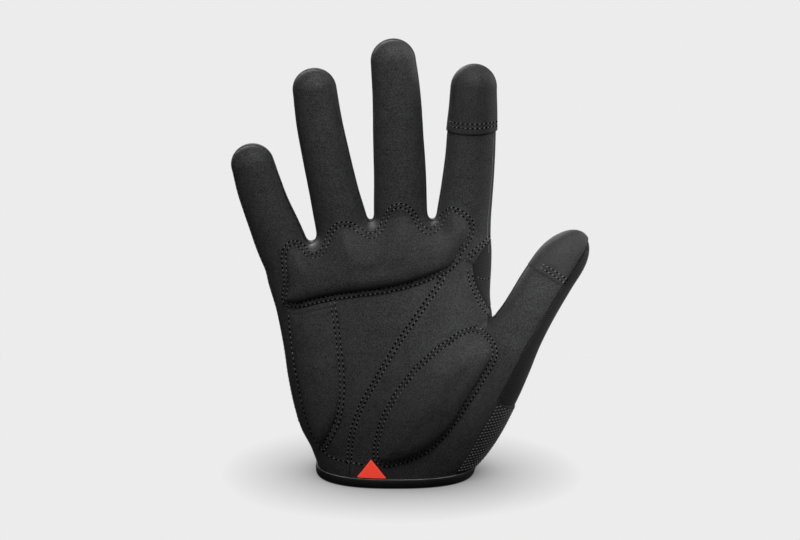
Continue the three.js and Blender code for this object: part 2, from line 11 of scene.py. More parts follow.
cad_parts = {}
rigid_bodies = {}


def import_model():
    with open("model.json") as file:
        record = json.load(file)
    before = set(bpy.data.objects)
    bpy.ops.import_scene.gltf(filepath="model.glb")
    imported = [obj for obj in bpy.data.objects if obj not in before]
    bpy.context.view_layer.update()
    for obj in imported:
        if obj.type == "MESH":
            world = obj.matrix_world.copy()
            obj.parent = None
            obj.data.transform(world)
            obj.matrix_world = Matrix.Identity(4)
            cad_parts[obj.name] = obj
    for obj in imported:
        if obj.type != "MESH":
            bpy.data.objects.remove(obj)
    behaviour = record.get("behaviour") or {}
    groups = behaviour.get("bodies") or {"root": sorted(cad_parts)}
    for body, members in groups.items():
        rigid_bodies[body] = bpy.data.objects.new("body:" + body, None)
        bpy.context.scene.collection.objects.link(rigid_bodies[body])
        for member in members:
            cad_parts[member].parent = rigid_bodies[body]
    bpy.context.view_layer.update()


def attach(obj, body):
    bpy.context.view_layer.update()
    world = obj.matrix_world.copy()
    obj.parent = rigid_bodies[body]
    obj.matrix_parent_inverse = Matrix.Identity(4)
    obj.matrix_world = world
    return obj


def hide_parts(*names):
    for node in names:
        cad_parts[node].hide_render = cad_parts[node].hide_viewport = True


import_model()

# Lengths are in millimetres, with x towards the thumb, y to the back of the hand and z up to the fingertips
MM = 0.001
CLOTH = 1.6
SEAM_GAP = 0.16
LAYER_GAP = 0.1
NET_STEP = 1.0

# The palm: each row holds a share of its height, its left edge, its right edge, half of its depth and how
# much further out its front stands
KNUCKLE_TOP = 121.5
KNUCKLE_DROP = 11.5
KNUCKLE_PEAK = 5.0
KNUCKLE_SPAN = 45.0
KNUCKLE_DEPTH = 28.8
KNUCKLE_ENDS = (-66, 50)
PALM_SQUARENESS = 2.5
PALM_TOP_ROUND = 9.0
PALM_ROWS = [
    (0.00, -36.7, 35.9, 26.2, 0.0),
    (0.035, -37.0, 36.7, 25.9, 0.4),
    (0.06, -38.2, 39.2, 25.6, 1.1),
    (0.12, -40.6, 43.0, 24.8, 2.6),
    (0.20, -44.8, 45.9, 24.0, 4.2),
    (0.30, -47.8, 48.0, 23.0, 5.2),
    (0.45, -50.8, 47.6, 21.3, 5.0),
    (0.60, -52.8, 46.2, 19.4, 3.9),
    (0.75, -55.3, 44.0, 17.6, 2.4),
    (0.90, -58.1, 42.3, 15.6, 0.8),
    (1.00, -59.5, 41.8, 14.4, 0.0),
    (1.15, -60.0, 41.6, 13.0, 0.0),
]
CURL = 14.0
CURL_START = 92.0
CURL_RUN = 114.0
CURL_POWER = 1.5

# Each limb: its root and tip in the front view, the length of its domed tip, and rows of its length's share,
# its bow to the side, its width and its depth; forward is how far the thumb comes out of the palm
LIMBS = {
    "little": {
        "root": (-44.0, 84.0),
        "tip": (-67.8, 158.1),
        "dome": 9.7,
        "rows": [
            (-0.15, 2.5, 14, 16), (0, 1.5, 20, 20), (0.25, 0.2, 23.6, 21.6), (0.43, -0.7, 23.6, 21),
            (0.57, -1.1, 22.6, 20.3), (0.70, -1.5, 21.6, 19.6), (0.85, -1.4, 21.0, 18.8),
            (1, -0.8, 19.8, 18.2),
        ],
    },
    "ring": {
        "root": (-19.5, 90.0),
        "tip": (-37.8, 193.5),
        "dome": 10.0,
        "rows": [
            (-0.12, 0.7, 18, 18), (0, 0.7, 26, 23.5), (0.35, -0.4, 24.2, 22.3), (0.5, -1.0, 22.6, 21.4),
            (0.68, -1.4, 21.7, 20.6), (0.85, -1.4, 20.9, 19.8), (1, -0.6, 19.9, 19.2),
        ],
    },
    "middle": {
        "root": (4.2, 90.0),
        "tip": (-2.4, 206.9),
        "dome": 10.2,
        "rows": [
            (-0.12, -0.2, 18, 18), (0, -0.2, 26.5, 24.5), (0.35, -0.05, 24.6, 23.2), (0.5, 0.6, 24.0, 22.3),
            (0.68, 0.9, 23.0, 21.6), (0.85, 1.15, 21.8, 20.6), (0.94, 0.9, 21.0, 20.1), (1, 0.6, 20.3, 19.6),
        ],
    },
    "index": {
        "root": (29.8, 90.0),
        "tip": (34.8, 195.0),
        "dome": 10.4,
        "rows": [
            (-0.12, -0.9, 18, 18), (0, -0.9, 25.6, 24), (0.38, -0.1, 25.1, 22.8), (0.5, 0.6, 24.0, 22),
            (0.68, 1.1, 22.7, 21.0), (0.78, 1.0, 22.1, 20.4), (0.9, 0.9, 20.7, 19.6), (1, 0.6, 19.6, 18.6),
        ],
    },
    "thumb": {
        "root": (30.0, 22.0),
        "tip": (82.7, 120.6),
        "dome": 19.0,
        "rows": [
            (-0.1, 0, 28, 30), (0, 0, 33.0, 34), (0.31, -0.6, 34.2, 32.5), (0.45, -0.6, 30.2, 29),
            (0.59, -0.8, 26.0, 26.0), (0.67, -0.7, 24.1, 25), (0.77, -0.9, 23.3, 23.8),
            (0.875, -1.0, 23.1, 22.8), (1, -0.6, 22.5, 21.2), (1.2, 1.0, 22.4, 20.8),
        ],
        "forward": [(0, -2), (0.28, -7), (0.54, -14), (0.8, -19), (1, -22)],
    },
}
# Widths that shares across a limb are taken of, and the length of its root that its flat end may cut
FINGER_WIDTH = 23.0
THUMB_WIDTH = 25.8
ROOT_CUT = 10.0

# How softly the limbs run into the palm and into each other
FINGER_BLEND = 3.0
ROOT_BLEND = 5.0
THUMB_BLEND = 8.0
CROTCH_BLEND = 2.0
CROTCH_START = 62.0
CROTCH_RUN = 16.0

# The grid round the glove that the skin is found on: its corners, how many fine steps a wide one has, and how
# many steps from the skin it is worked out in full
GRID_LOW = np.array([-88.0, -40.0, -8.0])
GRID_HIGH = np.array([102.0, 38.0, 216.0])
WIDE = 4
NEAR_SKIN = 8

# How far apart a slope's points lie, the least slope that is divided by, and how much of the way to the
# middle of its neighbours a point moves in a round
SLOPE_REACH = 0.08
LEAST_SLOPE = 0.05
EVENING = 0.6


def through_rows(keys, values, at):
    """Smooth value through a table's rows."""
    keys = np.asarray(keys, float)
    values = np.asarray(values, float)
    slopes = np.gradient(values, keys)
    at = np.clip(at, keys[0], keys[-1])
    row = np.clip(np.searchsorted(keys, at, side="right") - 1, 0, len(keys) - 2)
    run = keys[row + 1] - keys[row]
    u = (at - keys[row]) / run
    start = (2 * u**3 - 3 * u**2 + 1) * values[row] + (u**3 - 2 * u**2 + u) * run * slopes[row]
    return start + (-2 * u**3 + 3 * u**2) * values[row + 1] + (u**3 - u**2) * run * slopes[row + 1]


def columns(table, at):
    """Smooth value of each later column of a table, where its first column has given values."""
    keys, *others = np.array(table, float).T
    return [through_rows(keys, values, at) for values in others]


def curl(z):
    """How far back the fingers' middle lies at a height; they curl towards the palm, so it is below zero."""
    return -CURL * np.clip((z - CURL_START) / CURL_RUN, 0, None) ** CURL_POWER


def knuckle_height(x):
    """Height of the palm's upper edge across the hand."""
    return KNUCKLE_TOP - KNUCKLE_DROP * ((np.clip(x, *KNUCKLE_ENDS) - KNUCKLE_PEAK) / KNUCKLE_SPAN) ** 2


def oval_distance(a, b, half_a, half_b, power=2.0):
    """Distance to an oval, squarer for a higher power, negative inside."""
    near = ((np.abs(a) / half_a) ** power + (np.abs(b) / half_b) ** power) ** (1 / power)
    pull_a = (np.abs(a) / half_a) ** (power - 1) / half_a
    pull_b = (np.abs(b) / half_b) ** (power - 1) / half_b
    slope = np.sqrt(pull_a**2 + pull_b**2) / np.maximum(near, 1e-3) ** (power - 1)
    return (near - 1) / np.maximum(slope, 1e-3)


def soft_min(a, b, reach):
    """The smaller of two distances, blended where they are nearly alike."""
    overlap = np.maximum(reach - np.abs(a - b), 0) / reach
    return np.minimum(a, b) - overlap * overlap * reach / 4


def palm_distance(p):
    """Distance to the palm alone, with its upper edge rounded over."""
    x, y, z = p.T
    height = knuckle_height(x)
    left, right, depth, heel = columns(PALM_ROWS, z / height)
    through = y - curl(z)
    depth = np.where(through < 0, depth + heel, depth)
    body = oval_distance(x - (left + right) / 2, through, (right - left) / 2, depth, PALM_SQUARENESS)
    return -soft_min(-body, height - z, PALM_TOP_ROUND)


def limb_frame(name, p):
    """Where points lie along, across and through a limb, and the limb's own size there."""
    limb = LIMBS[name]
    root = np.array(limb["root"])
    run = np.array(limb["tip"]) - root
    length = np.linalg.norm(run)
    along = run / length
    relative = p[:, [0, 2]] - root
    reach = relative @ along
    side = relative @ np.array([along[1], -along[0]])
    dome = limb["dome"]
    straight = length - dome
    bow, width, depth = columns(limb["rows"], reach / straight)
    forward = columns(limb["forward"], reach / length)[0] if "forward" in limb else curl(p[:, 2])
    return reach, side - bow, p[:, 1] - forward, width / 2, depth / 2, straight, dome


def limb_distance(name, p):
    """Distance to a finger or the thumb alone, with its domed tip and its flat root."""
    reach, side, through, width, depth, straight, dome = limb_frame(name, p)
    body = oval_distance(side, through, width, depth)
    beyond = np.maximum(reach - straight, 0)
    tip = (np.sqrt((side / width) ** 2 + (through / depth) ** 2 + (beyond / dome) ** 2) - 1) * width
    whole = np.where(reach > straight, tip, body)
    start = LIMBS[name]["rows"][0][0] * straight
    return np.where(reach < start + ROOT_CUT, np.maximum(whole, start - reach), whole)


def skin_distance(p):
    """Distance to the outside of the cloth, negative inside the hand."""
    hand = limb_distance("little", p)
    for name in ("ring", "middle", "index"):
        hand = soft_min(hand, limb_distance(name, p), FINGER_BLEND)
    hand = soft_min(hand, palm_distance(p), ROOT_BLEND)
    crotch = np.clip((p[:, 2] - CROTCH_START) / CROTCH_RUN, 0, 1)
    blend = THUMB_BLEND + (CROTCH_BLEND - THUMB_BLEND) * crotch
    return soft_min(hand, limb_distance("thumb", p), blend)


def skin_slope(p):
    """The way in which the distance to the skin grows, from four points round each point."""
    corners = np.array([(1, -1, -1), (-1, -1, 1), (-1, 1, -1), (1, 1, 1)])
    slope = np.zeros_like(p)
    for corner in corners:
        slope += corner * skin_distance(p + corner * SLOPE_REACH)[:, None]
    return slope / (4 * SLOPE_REACH)


def unit(v):
    """Each row at a length of one."""
    return v / np.maximum(np.linalg.norm(v, axis=1), 1e-9)[:, None]


def onto_skin(p):
    """Points moved to the skin along its slope."""
    slope = skin_slope(p)
    return p - slope * (skin_distance(p) / np.maximum((slope**2).sum(1), LEAST_SLOPE))[:, None]


def sampled_skin(step):
    """Distances on a grid, worked out in full only near the skin."""
    counts = (np.ceil((GRID_HIGH - GRID_LOW) / (WIDE * step)) * WIDE).astype(int)
    axes = [GRID_LOW[i] + np.arange(counts[i]) * step for i in range(3)]
    wide = [axis[::WIDE] for axis in axes]
    grid = np.stack(np.meshgrid(*wide, indexing="ij"), -1)
    rough = skin_distance(grid.reshape(-1, 3)).reshape(grid.shape[:3])
    for axis in range(3):
        rough = rough.repeat(WIDE, axis)
    cells = np.argwhere(np.abs(rough) < NEAR_SKIN * step)
    rough[tuple(cells.T)] = skin_distance(GRID_LOW + cells * step)
    return rough


def both_ends(values, axis):
    """The values at the start and at the end of each grid edge along an axis."""
    near = [slice(None)] * 3
    far = [slice(None)] * 3
    near[axis] = slice(0, -1)
    far[axis] = slice(1, None)
    return values[tuple(near)], values[tuple(far)]


def surface_net(values, step):
    """One point for each cell that the skin crosses and one square for each grid edge that it crosses."""
    inside = values < 0
    shape = np.array(values.shape) - 1
    total = np.zeros((*shape, 3))
    count = np.zeros(shape)
    for axis in range(3):
        first, second = both_ends(values, axis)
        crossed = (first < 0) != (second < 0)
        share = np.where(crossed, first / np.where(crossed, first - second, 1), 0)
        others = [i for i in range(3) if i != axis]
        for one in (0, 1):
            for two in (0, 1):
                part = [slice(None)] * 3
                part[others[0]] = slice(one, one + shape[others[0]])
                part[others[1]] = slice(two, two + shape[others[1]])
                hit = crossed[tuple(part)]
                corner = np.zeros(3)
                corner[others[0]] = one
                corner[others[1]] = two
                total += hit[..., None] * corner
                total[..., axis] += np.where(hit, share[tuple(part)], 0)
                count += hit
    used = count > 0
    index = -np.ones(used.shape, int)
    index[used] = np.arange(used.sum())
    points = GRID_LOW + (np.argwhere(used) + total[used] / count[used][:, None]) * step
    squares = []
    for axis in range(3):
        u, v = [(1, 2), (2, 0), (0, 1)][axis]
        starts, ends = both_ends(inside, axis)
        edges = np.argwhere(starts != ends)
        edges = edges[(edges[:, u] > 0) & (edges[:, v] > 0)]

        def cell(back_u, back_v):
            at = edges.copy()
            at[:, u] -= back_u
            at[:, v] -= back_v
            return index[at[:, 0], at[:, 1], at[:, 2]]

        square = np.stack([cell(1, 1), cell(0, 1), cell(0, 0), cell(1, 0)], 1)
        flip = ~starts[edges[:, 0], edges[:, 1], edges[:, 2]]
        square[flip] = square[flip][:, ::-1]
        squares.append(square)
    return points, np.concatenate(squares)


def relaxed(points, squares, rounds=4):
    """Even out the net along the skin."""
    ends = np.concatenate([squares[:, [i, (i + 1) % 4]] for i in range(4)])
    degree = np.bincount(ends[:, 0], minlength=len(points)) + np.bincount(ends[:, 1], minlength=len(points))
    for _ in range(rounds):
        total = np.zeros_like(points)
        for axis in range(3):
            total[:, axis] += np.bincount(ends[:, 0], points[ends[:, 1], axis], len(points))
            total[:, axis] += np.bincount(ends[:, 1], points[ends[:, 0], axis], len(points))
        points = points + EVENING * (total / np.maximum(degree, 1)[:, None] - points)
        points = onto_skin(points)
    return onto_skin(points)


def triangles_of(points, squares):
    """Each square cut in two along its shorter diagonal."""
    a, b, c, d = (points[squares[:, i]] for i in range(4))
    short = (((a - c) ** 2).sum(1) < ((b - d) ** 2).sum(1))[:, None]
    first = np.where(short, squares[:, [0, 1, 2]], squares[:, [0, 1, 3]])
    second = np.where(short, squares[:, [0, 2, 3]], squares[:, [1, 2, 3]])
    return np.concatenate([first, second])


def sides_of(tris):
    """The three sides of each triangle, as pairs of corners."""
    return np.concatenate([tris[:, [0, 1]], tris[:, [1, 2]], tris[:, [2, 0]]])


def edge_points(ends, count):
    """Number the middle points of edges that are given as pairs of corners."""
    keys = np.sort(ends, axis=1)
    keys = keys[:, 0] * count + keys[:, 1]
    return np.unique(keys, return_inverse=True)


def split(points, tris, value, snap=0.05):
    """Cut the triangles along the line where a value is zero; a triangle is then on one side of it."""
    value = np.where(np.abs(value) < snap, 0, value)
    sides = np.sign(value[tris])
    pairs = [(0, 1), (1, 2), (2, 0)]
    crossed = np.stack([sides[:, a] * sides[:, b] < 0 for a, b in pairs], 1)
    number = crossed.sum(1)
    which, edge = np.nonzero(crossed)
    ends = np.stack([tris[which, edge], tris[which, (edge + 1) % 3]], 1)
    keys, place = edge_points(ends, len(points))
    low, high = keys // len(points), keys % len(points)
    share = value[low] / (value[low] - value[high])
    fresh = points[low] + (points[high] - points[low]) * share[:, None]
    middle = -np.ones((len(tris), 3), int)
    middle[which, edge] = len(points) + place.ravel()
    kept = [tris[number == 0]]
    for turn in range(3):
        i, j, k = turn, (turn + 1) % 3, (turn + 2) % 3
        one = (number == 1) & crossed[:, j]
        corner, start, end, cut = tris[one, i], tris[one, j], tris[one, k], middle[one, j]
        kept += [np.stack([corner, start, cut], 1), np.stack([corner, cut, end], 1)]
        two = (number == 2) & crossed[:, i] & crossed[:, k]
        corner, start, end = tris[two, i], tris[two, j], tris[two, k]
        first, second = middle[two, i], middle[two, k]
        kept += [
            np.stack([corner, first, second], 1),
            np.stack([first, start, end], 1),
            np.stack([first, end, second], 1),
        ]
    tris = np.concatenate(kept)
    value = np.concatenate([value, np.zeros(len(fresh))])
    return np.concatenate([points, fresh]), tris, value[tris].sum(1)


def compact(points, tris):
    """The points that the triangles use, and the triangles renumbered."""
    used, place = np.unique(tris, return_inverse=True)
    return points[used], place.reshape(tris.shape)


def cut_out(points, tris, region, rings=()):
    """The part of the net where a region's value is negative, with extra lines of points near its edge."""
    near = region(points)[tris].min(1) < 0
    points, tris = compact(points, tris[near])
    points, tris, side = split(points, tris, region(points))
    points, tris = compact(points, tris[side < 0])
    for ring in rings:
        points, tris, side = split(points, tris, region(points) + ring)
    return points, tris


def refined(points, tris):
    """Four triangles for each one, on the skin."""
    keys, place = edge_points(sides_of(tris), len(points))
    fresh = (points[keys // len(points)] + points[keys % len(points)]) / 2
    ab, bc, ca = (len(points) + place.ravel()).reshape(3, -1)
    a, b, c = tris.T
    parts = [(a, ab, ca), (ab, b, bc), (ca, bc, c), (ab, bc, ca)]
    tris = np.concatenate([np.stack(part, 1) for part in parts])
    return onto_skin(np.concatenate([points, fresh])), tris


def stretch_distance(start, end, x, z):
    """Distance to a straight stretch of the front view."""
    (ax, az), (bx, bz) = start, end
    dx, dz = bx - ax, bz - az
    share = np.clip(((x - ax) * dx + (z - az) * dz) / (dx * dx + dz * dz), 0, 1)
    return np.hypot(x - ax - share * dx, z - az - share * dz)


def outline_distance(outline, x, z):
    """Signed distance to a closed outline in the front view, negative inside."""
    nearest = np.full(x.shape, np.inf)
    inside = np.zeros(x.shape, bool)
    for start, end in zip(outline, [*outline[1:], outline[0]]):
        nearest = np.minimum(nearest, stretch_distance(start, end, x, z))
        (ax, az), (bx, bz) = start, end
        if az != bz:
            inside ^= ((az > z) != (bz > z)) & (x < ax + (bx - ax) * (z - az) / (bz - az))
    return np.where(inside, -nearest, nearest)


FAR_OFF = 99.0
CURVE_STEP = 0.25


def from_line(line, p):
    """Distance from an open line of the front view, for points of the palm's side."""
    x, y, z = p.T
    nearest = np.min([stretch_distance(*ends, x, z) for ends in zip(line, line[1:])], axis=0)
    return np.where(y > 0, FAR_OFF, nearest)


def smooth_line(points, spacing, closed=False):
    """Evenly spaced points along a smooth line through a few points."""
    points = np.array(points, float)
    ring = np.concatenate([points[-2:], points, points[:3]]) if closed else points
    steps = np.concatenate([[0], np.cumsum(np.linalg.norm(np.diff(ring, axis=0), axis=1))])
    start, end = (steps[2], steps[-3]) if closed else (0, steps[-1])
    fine = np.linspace(start, end, max(int((end - start) / CURVE_STEP), 8))
    line = np.stack([through_rows(steps, ring[:, i], fine) for i in (0, 1)], 1)
    run = np.concatenate([[0], np.cumsum(np.linalg.norm(np.diff(line, axis=0), axis=1))])
    count = max(int(round(run[-1] / spacing)), 2)
    even = np.linspace(0, run[-1], count + 1)
    line = np.stack([np.interp(even, run, line[:, i]) for i in (0, 1)], 1)
    return line[:-1] if closed else line


def shifted(line, distance, closed=False):
    """A line beside another, on its left for a positive distance."""
    if closed:
        run = np.roll(line, -1, 0) - np.roll(line, 1, 0)
    else:
        run = np.gradient(line, axis=0)
    run = run / np.linalg.norm(run, axis=1)[:, None]
    return line + distance * np.stack([-run[:, 1], run[:, 0]], 1)


# Sewing lines on the front, as (x, z) points: each is the middle of its row or pair of rows
METACARPAL_LINE = [
    (-50.5, 84.5), (-50.5, 95), (-51.3, 103), (-51, 109.5), (-48, 113), (-43.5, 111), (-39.5, 107.5),
    (-35, 108.5), (-32, 113), (-30, 118), (-26.5, 121.8), (-22, 122.3), (-16.5, 119), (-11.5, 117.2),
    (-7.5, 119.5), (-4.5, 125.5), (-1.5, 130), (3, 131), (7, 128), (10.5, 122), (15, 118.8), (19.5, 121),
    (22, 126), (25.5, 129), (30, 127.4), (34, 123.5), (34.4, 118.5), (32, 113.5), (29.5, 110), (27.5, 105.5),
    (23, 101.2), (16, 98.5), (7, 95.6), (-4, 93), (-16, 91.3), (-28, 89.4), (-38, 86.8), (-46, 84.4),
]
ULNAR_SEAM = [
    (-29.3, 88.5), (-28, 80.5), (-26.9, 73.5), (-26, 66), (-25, 57), (-24.7, 48.5), (-25.1, 41),
    (-26.3, 34.5), (-28.3, 28.8), (-31.2, 22.7), (-34, 17),
]
HEM_LINE = [
    (-49.9, 83.7), (-49.4, 75.7), (-48.6, 66.5), (-47.4, 57.5), (-45.7, 48.5), (-43.9, 38.5), (-42, 31),
    (-39.4, 24), (-36.5, 19), (-33.5, 15.2), (-29, 12.8), (-23, 12), (-17, 11.4), (-11.5, 11), (-6.7, 11.3),
]
THENAR_LINE = [
    (-6, 12), (1, 13), (11.5, 17), (19, 23), (26.5, 31.5), (32.2, 40), (36.5, 46.5), (40.5, 53), (43.5, 58.5),
    (45.3, 63.5), (43.8, 69), (40, 71.9), (34.5, 73.4), (30, 72.4), (24, 68.8), (19, 65.8), (14.5, 62),
    (10.5, 58.5), (6.5, 54), (2.5, 49), (-1.6, 42.6), (-4.9, 36.4), (-7, 30.5), (-8.4, 24.5), (-9.3, 19),
    (-8.9, 14.5),
]
DIAGONAL_SEAM = [
    (23.5, 101.6), (18.6, 93.4), (13.7, 86.7), (8.5, 79.6), (4.5, 74), (1, 69), (-2.4, 63.5), (-5.4, 58.6),
    (-9.7, 51), (-14.5, 43), (-18, 34.5), (-20, 27.5), (-21.1, 20), (-21.6, 12.5),
]
GUSSET_SEAM = [(43.1, 113), (35.2, 103.5), (36.3, 95.1), (39, 89.3), (42, 83.2)]


def on_limb(name, run, across):
    """A point of the front view, by shares along a limb's length and across its middle width."""
    limb = LIMBS[name]
    root, tip = np.array(limb["root"]), np.array(limb["tip"])
    along = (tip - root) / np.linalg.norm(tip - root)
    width = THUMB_WIDTH if name == "thumb" else FINGER_WIDTH
    place = root + run * (tip - root) + across * width * np.array([along[1], -along[0]])
    return tuple(place)


def on_thumb(*shares):
    """Points of the front view, by pairs of shares along the thumb and across it."""
    return [on_limb("thumb", run, across) for run, across in shares]


THUMB_SEAM = on_thumb(
    (0.21, 0.25), (0.33, 0.235), (0.49, 0.18), (0.66, 0.18), (0.81, 0.18), (0.94, 0.21), (1.1, 0.2)
)
THUMB_BACK_SEAM = on_thumb(
    (0.21, 0.2), (0.266, -0.15), (0.334, -0.42), (0.42, -0.535), (0.52, -0.58), (0.7, -0.8), (1.1, -1)
)

# How far to the palm's side of the middle the side seam lies, at heights up the glove
SIDE_SEAM_ROWS = [(0, -5.0), (60, -4.6), (110, -3.4), (140, -2.6), (210, -2.2)]


def side_seam(z):
    """How far back the seam up the glove's sides lies at a height."""
    return columns(SIDE_SEAM_ROWS, z)[0] + curl(z)


def thumb_middle(z):
    """How far back the seam up the thumb's sides lies at a height."""
    limb = LIMBS["thumb"]
    (root_x, root_z), (tip_x, tip_z) = limb["root"], limb["tip"]
    length = math.hypot(tip_x - root_x, tip_z - root_z)
    reach = np.maximum((z - root_z) * length / (tip_z - root_z), 0)
    return np.minimum(columns(limb["forward"], reach / length)[0], side_seam(z))


# Regions: a value for each point that is negative inside a panel and zero at its seams
GUSSET_BACK = 0.15 * KNUCKLE_DEPTH
GUSSET_SIDE = 47.2
THUMB_LAP = 1.0

# Walls between fingers: how far back they go, their top as a share of the fingers' length, how far below the
# knuckles they start, and how fast they widen above that and narrow again
FOURCHETTE_WIDTH = 10.0
FOURCHETTE_TOP = 0.84
FOURCHETTE_BELOW = 12.8
FOURCHETTE_FLARE = 5.0
FOURCHETTE_TAPER = 2.2
FOURCHETTES = [("little", "ring"), ("ring", "middle"), ("middle", "index")]
HEM_BOTTOM = 1.5


def gusset_region(p):
    """The small gusset between thumb and index finger."""
    x, y, z = p.T
    outline = [*GUSSET_SEAM, on_limb("thumb", 0.515, -0.5), (GUSSET_SIDE, 87.5), (GUSSET_SIDE, 113)]
    return np.maximum(outline_distance(outline, x, z), y - GUSSET_BACK - curl(z))


def thumb_back_region(p):
    """The strip on the thumb's outer side, and all of its back."""
    x, y, z = p.T
    ends = on_thumb((1.1, 2), (0.21, 2))
    middle = thumb_middle(z)
    front = np.maximum(outline_distance([*THUMB_SEAM, *ends], x, z), y - middle - THUMB_LAP)
    back = np.maximum(outline_distance([*THUMB_BACK_SEAM, *ends], x, z), middle - y)
    return np.minimum(front, back)


def thumb_panel_region(p):
    """From the diagonal seam round the ball of the thumb to its tip."""
    x, y, z = p.T
    crotch = on_limb("thumb", 0.515, -0.57)
    edge = GUSSET_SEAM[:0:-1]
    outline = [*DIAGONAL_SEAM, (-21.5, -12), (90, -12), (90, crotch[1]), crotch, *edge, (30.7, 105.5)]
    palm = np.maximum(outline_distance(outline, x, z), y - side_seam(z))
    ball = on_thumb((0.45, -0.7), (1.1, -1.5), (1.1, 1), (0.45, 1))
    return np.minimum(palm, np.maximum(outline_distance(ball, x, z), y - thumb_middle(z)))


def fourchette_region(first, second, p):
    """The wall between two fingers, pointed at its lower and upper end."""
    x, y, z = p.T
    one, two = (on_limb(name, FOURCHETTE_TOP, 0) for name in (first, second))
    low = knuckle_height((one[0] + two[0]) / 2) - FOURCHETTE_BELOW
    high = min(one[1], two[1])
    share = (z - low) / (high - low)
    narrowing = np.minimum(FOURCHETTE_FLARE * share, FOURCHETTE_TAPER * (1 - share))
    width = FOURCHETTE_WIDTH * np.clip(narrowing, -1, 1)
    ends = [(first, -0.1), (second, -0.1), (second, 1), (first, 1)]
    wedge = outline_distance([on_limb(name, run, 0) for name, run in ends], x, z)
    return np.maximum(np.maximum(side_seam(z) - y, y - side_seam(z) - width), wedge)


def apart_from(p, *values):
    """Region above the hem that leaves out other regions."""
    return np.max([*(-value for value in values), HEM_BOTTOM - p[:, 2]], axis=0)


def stretch_parts(p):
    """Regions of all the dark stretch panels."""
    return [gusset_region(p), thumb_back_region(p), *(fourchette_region(*pair, p) for pair in FOURCHETTES)]


def half_shell_region(p, behind):
    """The hand's and the fingers' back, or their front."""
    half = side_seam(p[:, 2]) - p[:, 1]
    return np.maximum(apart_from(p, *stretch_parts(p), thumb_panel_region(p)), half if behind else -half)


PANELS = {
    "palm_panel": lambda p: half_shell_region(p, False),
    "back_panel": lambda p: half_shell_region(p, True),
    "thumb_panel": lambda p: np.maximum(apart_from(p, *stretch_parts(p)), thumb_panel_region(p)),
    "thumb_back": lambda p: np.maximum(apart_from(p, gusset_region(p)), thumb_back_region(p)),
    "thumb_gusset": gusset_region,
    "fourchette_little_ring": lambda p: fourchette_region("little", "ring", p),
    "fourchette_ring_middle": lambda p: fourchette_region("ring", "middle", p),
    "fourchette_middle_index": lambda p: fourchette_region("middle", "index", p),
}


WAVES = 7


def ripple(p, length, seed):
    """Slow waves of about one unit, for cloth that isn't quite smooth."""
    rng = np.random.default_rng(seed)
    total = np.zeros(len(p))
    for _ in range(WAVES):
        way = rng.normal(size=3)
        way *= 2 * math.pi / (length * rng.uniform(0.7, 1.5)) / np.linalg.norm(way)
        total += np.sin(p @ way + rng.uniform(0, 2 * math.pi))
    return total / 3


def closed_piece(name, points, tris, top, bottom, material):
    """Solid between two offsets from the skin, with walls round its edges."""
    normals = unit(skin_slope(points))
    above = points + normals * np.asarray(top).reshape(-1, 1)
    below = points + normals * np.asarray(bottom).reshape(-1, 1)
    count = len(points)
    ways = sides_of(tris)
    keys = ways[:, 0] * count + ways[:, 1]
    single = ~np.isin(ways[:, 1] * count + ways[:, 0], keys)
    a, b = ways[single].T
    walls = np.concatenate([np.stack([b, a, a + count], 1), np.stack([b, a + count, b + count], 1)])
    faces = np.concatenate([tris, tris[:, ::-1] + count, walls])
    return mesh_object(name, np.concatenate([above, below]), faces, material)


def mesh_object(name, points, faces, material, smooth_angle=50):
    """A piece in the scene from points in millimetres and faces that all have as many corners."""
    mesh = bpy.data.meshes.new(name)
    mesh.vertices.add(len(points))
    mesh.vertices.foreach_set("co", (np.asarray(points, float) * MM).ravel())
    faces = np.asarray(faces)
    corners = faces.shape[1]
    mesh.loops.add(faces.size)
    mesh.loops.foreach_set("vertex_index", faces.ravel())
    mesh.polygons.add(len(faces))
    mesh.polygons.foreach_set("loop_start", np.arange(len(faces)) * corners)
    mesh.update(calc_edges=True)
    mesh.validate()
    mesh.shade_smooth()
    mesh.set_sharp_from_angle(angle=math.radians(smooth_angle))
    mesh.materials.append(material)
    piece = bpy.data.objects.new(name, mesh)
    bpy.context.scene.collection.objects.link(piece)
    return piece


def add_node(tree, kind, inputs, settings):
    """A new node with its settings, and with its inputs set or linked."""
    made = tree.nodes.new(kind)
    for key, value in settings.items():
        setattr(made, key, value)
    for key, value in (inputs or {}).items():
        if isinstance(value, bpy.types.NodeSocket):
            tree.links.new(value, made.inputs[key])
        else:
            made.inputs[key].default_value = value
    return made


# Finishes


